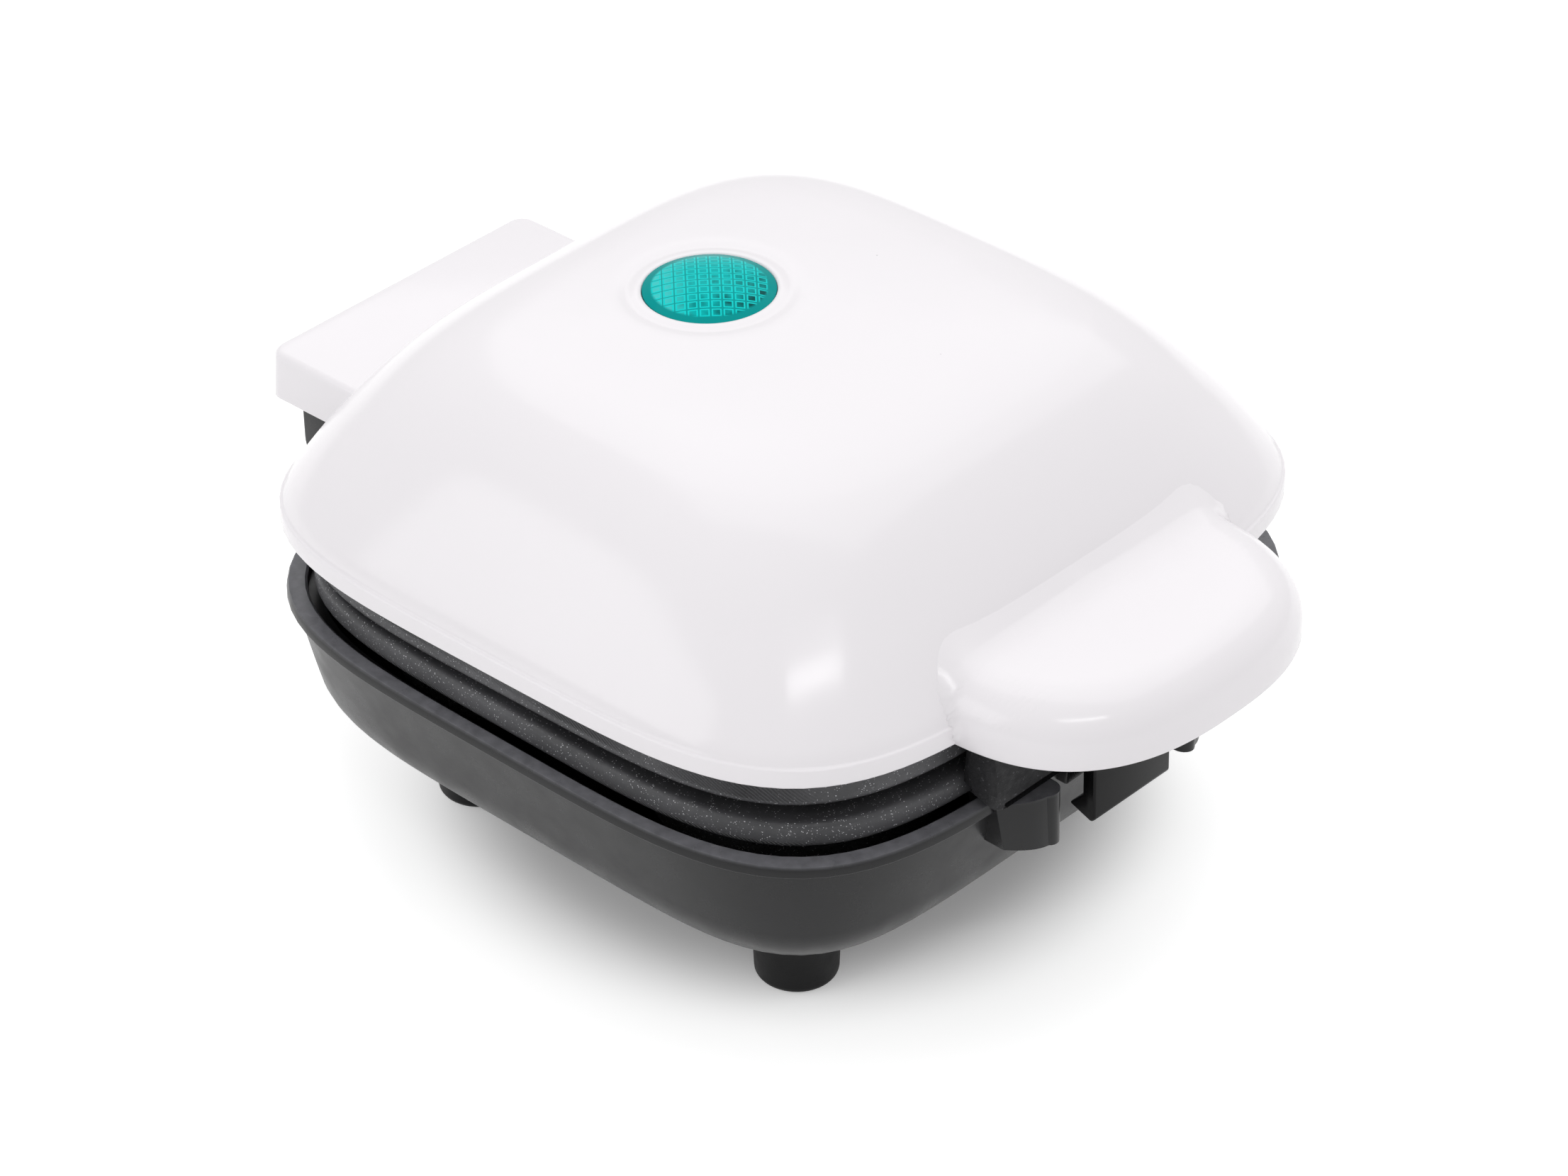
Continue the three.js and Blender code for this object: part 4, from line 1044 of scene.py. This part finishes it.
def plate_form(top, bottom, edge, depth):
    """A plate with four cups, its face at top and its skirt down to bottom."""
    s = sizes()
    half, thick, rim, shell_wall = s.plate_half, 2.6 * MM, 0.9 * MM, 2.2 * MM
    outside = [(0, top), (half * 0.5, top), (half - edge - 1 * MM, top)]
    outside += arc((half - edge, top - edge), edge, 90, 0, 6) + at((half, bottom), (0, 1.1))
    outside += arc((half - rim, bottom + rim), rim, 0, -85, 4)
    outside += at((half - thick, bottom), (0.3, 0), (0, 0.4))
    outside += [(half - thick, top - thick), (0, top - thick)]
    shells, hollows = [], []
    for sx, sy in CORNERS.values():
        x, y = sx * s.cup_spacing / 2, sy * s.cup_spacing / 2
        shell = moved(cup_form(depth + shell_wall, shell_wall, None), x, y, top - 1 * MM)
        hollow = moved(cup_form(depth, 0, 1 * MM), x, y, top)
        shells.append(carved(shell, hollow.copy()))
        hollows.append(hollow)
    return gathered(carved(squared(outside), *hollows), *shells)


def build_lower_plate():
    low = rim_height() + PLATE_LOW
    bm = plate_form(low + 5 * MM, low, 1.5 * MM, sizes().lower_cup_depth)
    shown(bm, "lower_cups", "base", ["lower_plate"], "lower_coating")


def build_upper_plate():
    """The same form, turned face down."""
    face = PLATE_FACE - sizes().lid_gap
    bm = plate_form(-face, -face - 9.5 * MM, 1.3 * MM, sizes().upper_cup_depth)
    bm.transform(Matrix.Diagonal((1, 1, -1, 1)))
    bm = carved(outward(bm), *screw_holes(face - 1 * MM, face + 2.1 * MM))
    shown(bm, "upper_cups", "lid", ["upper_plate"], "upper_coating")


# Fasteners and inside


def screw_form(length_):
    """A pan head screw with a cross recess, head down at height zero and tip up."""
    points = at((0, 0), (0, 0), (2.088, 0.05), (2.697, 0.4), (2.9, 1))
    points += at((0, HEAD_HEIGHT), (2.9, -0.1), (2.8, 0), (1.2, 0))
    points += at((0, HEAD_HEIGHT + length_), (1.2, -1), (0, 0))
    slots = []
    for x, y in ((1.6 * MM, 0.35 * MM), (0.35 * MM, 1.6 * MM)):
        slots.append(block((-x, -y, -1 * MM), (x, y, 0.95 * MM)))
    return carved(spun(points, 28), *slots)


def build_screws():
    s = sizes()
    face = PLATE_FACE - s.lid_gap
    for name, (x, y) in SCREWS.items():
        for kind, body, low, tip in (
            ("lower", "base", s.foot_height + 12 * MM - 2.1 * MM, rim_height() + 1.8 * MM),
            ("upper", "lid", face, face + 26.2 * MM),
        ):
            bm = moved(screw_form(tip - low - HEAD_HEIGHT), x, y, low)
            node = f"{kind}_plate_screw_{name}"
            shown(bm, f"{kind}_screw_{name}", body, [node], "plated_steel")
    for name in ("left", "right"):
        for kind, node in (("grip_screw", "handle_screw"), ("hinge_fixing", "hinge_screw")):
            low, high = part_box(f"{node}_{name}")
            bm = screw_form(high.z - low.z - 1.9 * MM)
            middle = (low + high) / 2
            moved(bm, middle.x, middle.y, low.z + 0.05 * MM)
            shown(
                bm, f"{kind}_{name}", "lid", [f"{node}_{name}"], "plated_steel",
                place=Matrix.Identity(4),
            )


def dress_inside():
    """The pieces that keep their CAD shape get their finishes."""
    for look, nodes in {
        "plated_steel": ("hinge_pin", "latch_pin"),
        "element_sheath": ("lower_heater", "upper_heater"),
        "rolled_aluminium": ("lower_reflector", "upper_reflector"),
        "fired_ceramic": (
            "lower_thermostat", "upper_thermostat", "terminal_block", "thermal_fuse",
            "lamp_holder",
        ),
        "satin_black": ("lens_retainer",),
        "clear_lamp": ("indicator_lamp",),
    }.items():
        for node in nodes:
            data = frame["nodes"][node].data
            data.materials.clear()
            data.materials.append(finish(look))


# Studio


def build_floor():
    """A pale ground that the camera sees lighter away from the cooker, its glow painted down
    towards the cooker's middle as a painted shadow around the real one.
    """
    f = Finish("studio_floor", "floor", 0.85)
    f.base(f.clouds(f.noise(3, 3), 0.985, 1, 0.2))
    path = f.node("ShaderNodeLightPath").outputs
    mirrored = f.math("MAXIMUM", path["Is Glossy Ray"], path["Is Transmission Ray"])
    seen = f.math("MAXIMUM", path["Is Camera Ray"], f.times(mirrored, 0.55))
    # painted shadow: the glow falls from 0.5 to 0.1 towards the cooker's middle, so the floor is
    # painted darker around and under the cooker, on top of its real shadow
    pale = f.between(f.vector("LENGTH", f.place)["Value"], 0.046, 0.074, 0.1, 0.5)
    pale.node.interpolation_type = "SMOOTHSTEP"
    glow = f.node("ShaderNodeEmission", (1, 1, 1), f.times(seen, pale))
    total = f.node("ShaderNodeAddShader", f.shader.outputs[0], glow.outputs[0])
    f.feed(f.tree.nodes["Material Output"].inputs["Surface"], total.outputs[0])
    bm = bmesh.new()
    bmesh.ops.create_grid(bm, x_segments=2, y_segments=2, size=3)
    mesh = meshed(moved(bm, 0, 0, -0.2 * MM), "studio_floor")
    mesh.materials.append(f.material)
    floor = linked("studio_floor", mesh)


def lamp(name, place, aim, size, power, tall=None):
    data = bpy.data.lights.new(name, "AREA")
    data.energy = power
    data.shape = "RECTANGLE"
    data.size = size
    data.size_y = tall or size
    obj = linked(name, data)
    obj.location = place
    obj.rotation_euler = (Vector(aim) - Vector(place)).to_track_quat("-Z", "Y").to_euler()


def build_world():
    """A pale room, brighter overhead and towards the right, and white to the camera."""
    world = bpy.data.worlds.new("studio")
    bpy.context.scene.world = world
    world.use_nodes = True
    room = Nodes(world.node_tree)
    path = room.node("ShaderNodeLightPath").outputs
    seen = room.math("MAXIMUM", path["Is Camera Ray"], path["Is Transmission Ray"])
    way = room.node("ShaderNodeTexCoord").outputs["Generated"]
    bright = room.vector("DOT_PRODUCT", way, Vector((0.45, -0.05, 0.88)).normalized())["Value"]
    level = room.between(bright, -0.3, 1.0, 0.61, 0.87)
    white = room.math("MAXIMUM", seen, level)
    for name, value in (("Color", (1, 1, 1)), ("Strength", white)):
        room.feed(room.tree.nodes["Background"].inputs[name], value)


def build_camera():
    """The photograph's viewpoint: front left corner, looking down by 35 degrees."""
    place = Matrix.Translation((0, BODY_Y, rim_height()))
    for angle, axis in ((-47.126, "Z"), (90 - 34.793, "X"), (-0.093, "Z")):
        place = place @ Matrix.Rotation(math.radians(angle), 4, axis)
    data = bpy.data.cameras.new("camera")
    data.sensor_width = 36
    data.lens = FOCAL_PIXELS / IMAGE_WIDTH * data.sensor_width
    camera = linked("camera", data)
    camera.matrix_world = place @ Matrix.Translation((-0.00006, -0.0041, 1.02402))
    bpy.context.scene.camera = camera


def build_stage():
    build_camera()
    build_floor()
    build_world()
    lamp("top_box", (0.55, 0.3, 1.2), (0, 0, 0.05), 1.6, 5.7)
    lamp("left_box", (-1.0, 0.5, 0.5), (0, 0, 0.05), 0.9, 2.2, 0.6)
    lamp("corner_box", (-0.37, -0.57, 0.86), (0, 0, 0.08), 0.5, 0.8, 0.09)
    bpy.context.scene.view_settings.view_transform = "Standard"


# Operators


class COOKER_OT_lid(bpy.types.Operator):
    """Builds the lid with its handle and hinge cover."""

    bl_idname = "cooker.lid"
    bl_label = "Lid"

    def execute(self, context):
        build_lid()
        return {"FINISHED"}


class COOKER_OT_lens(bpy.types.Operator):
    """Builds the indicator lens."""

    bl_idname = "cooker.lens"
    bl_label = "Indicator Lens"

    def execute(self, context):
        build_lens()
        return {"FINISHED"}


class COOKER_OT_underside(bpy.types.Operator):
    """Builds the rough cover under the handle."""

    bl_idname = "cooker.underside"
    bl_label = "Handle Underside"

    def execute(self, context):
        build_insert()
        return {"FINISHED"}


class COOKER_OT_clip(bpy.types.Operator):
    """Builds the latch clip."""

    bl_idname = "cooker.clip"
    bl_label = "Latch Clip"

    def execute(self, context):
        build_latch()
        return {"FINISHED"}


class COOKER_OT_arms(bpy.types.Operator):
    """Builds the hinge arms under the hinge cover."""

    bl_idname = "cooker.arms"
    bl_label = "Hinge Arms"

    def execute(self, context):
        build_bracket()
        return {"FINISHED"}


class COOKER_OT_base(bpy.types.Operator):
    """Builds the base bowl with its lugs, catch and hinge block."""

    bl_idname = "cooker.base"
    bl_label = "Base Bowl"

    def execute(self, context):
        build_base()
        return {"FINISHED"}


class COOKER_OT_feet(bpy.types.Operator):
    """Builds the four feet."""

    bl_idname = "cooker.feet"
    bl_label = "Feet"

    def execute(self, context):
        build_feet()
        return {"FINISHED"}


class COOKER_OT_gland(bpy.types.Operator):
    """Builds the cord gland."""

    bl_idname = "cooker.gland"
    bl_label = "Cord Gland"

    def execute(self, context):
        build_gland()
        return {"FINISHED"}


class COOKER_OT_plates(bpy.types.Operator):
    """Builds the lower and the upper cup plate."""

    bl_idname = "cooker.plates"
    bl_label = "Cup Plates"

    def execute(self, context):
        build_lower_plate()
        build_upper_plate()
        return {"FINISHED"}


class COOKER_OT_screws(bpy.types.Operator):
    """Builds all the screws."""

    bl_idname = "cooker.screws"
    bl_label = "Screws"

    def execute(self, context):
        build_screws()
        return {"FINISHED"}


class COOKER_OT_inside(bpy.types.Operator):
    """Gives the inner pieces their finishes."""

    bl_idname = "cooker.inside"
    bl_label = "Inner Pieces"

    def execute(self, context):
        dress_inside()
        return {"FINISHED"}


class COOKER_OT_studio(bpy.types.Operator):
    """Sets up the floor, the light and the camera."""

    bl_idname = "cooker.studio"
    bl_label = "Studio"

    def execute(self, context):
        build_stage()
        return {"FINISHED"}


OPERATORS = (
    COOKER_OT_studio, COOKER_OT_base, COOKER_OT_feet, COOKER_OT_gland, COOKER_OT_plates,
    COOKER_OT_lid, COOKER_OT_lens, COOKER_OT_underside, COOKER_OT_clip, COOKER_OT_arms,
    COOKER_OT_screws, COOKER_OT_inside,
)


class COOKER_PT_panel(bpy.types.Panel):
    """Lists the cooker's sizes, colours and pieces."""

    bl_idname = "COOKER_PT_panel"
    bl_label = "Egg Bite Maker"
    bl_space_type = "VIEW_3D"
    bl_region_type = "UI"
    bl_category = "Cooker"

    def draw(self, context):
        for group in (context.scene.cooker_sizes, context.scene.cooker_colours):
            column = self.layout.column()
            for name in group.__annotations__:
                column.prop(group, name)
        for operator in OPERATORS:
            self.layout.operator(operator.bl_idname)


CLASSES = (CookerSizes, CookerColours, *OPERATORS, COOKER_PT_panel)


def register():
    for cls in CLASSES:
        bpy.utils.register_class(cls)
    bpy.types.Scene.cooker_sizes = bpy.props.PointerProperty(type=CookerSizes)
    bpy.types.Scene.cooker_colours = bpy.props.PointerProperty(type=CookerColours)


def unregister():
    del bpy.types.Scene.cooker_colours
    del bpy.types.Scene.cooker_sizes
    for cls in reversed(CLASSES):
        bpy.utils.unregister_class(cls)


def main():
    register()
    for operator in OPERATORS:
        group, name = operator.bl_idname.split(".")
        getattr(getattr(bpy.ops, group), name)()


if __name__ == "__main__":
    main()
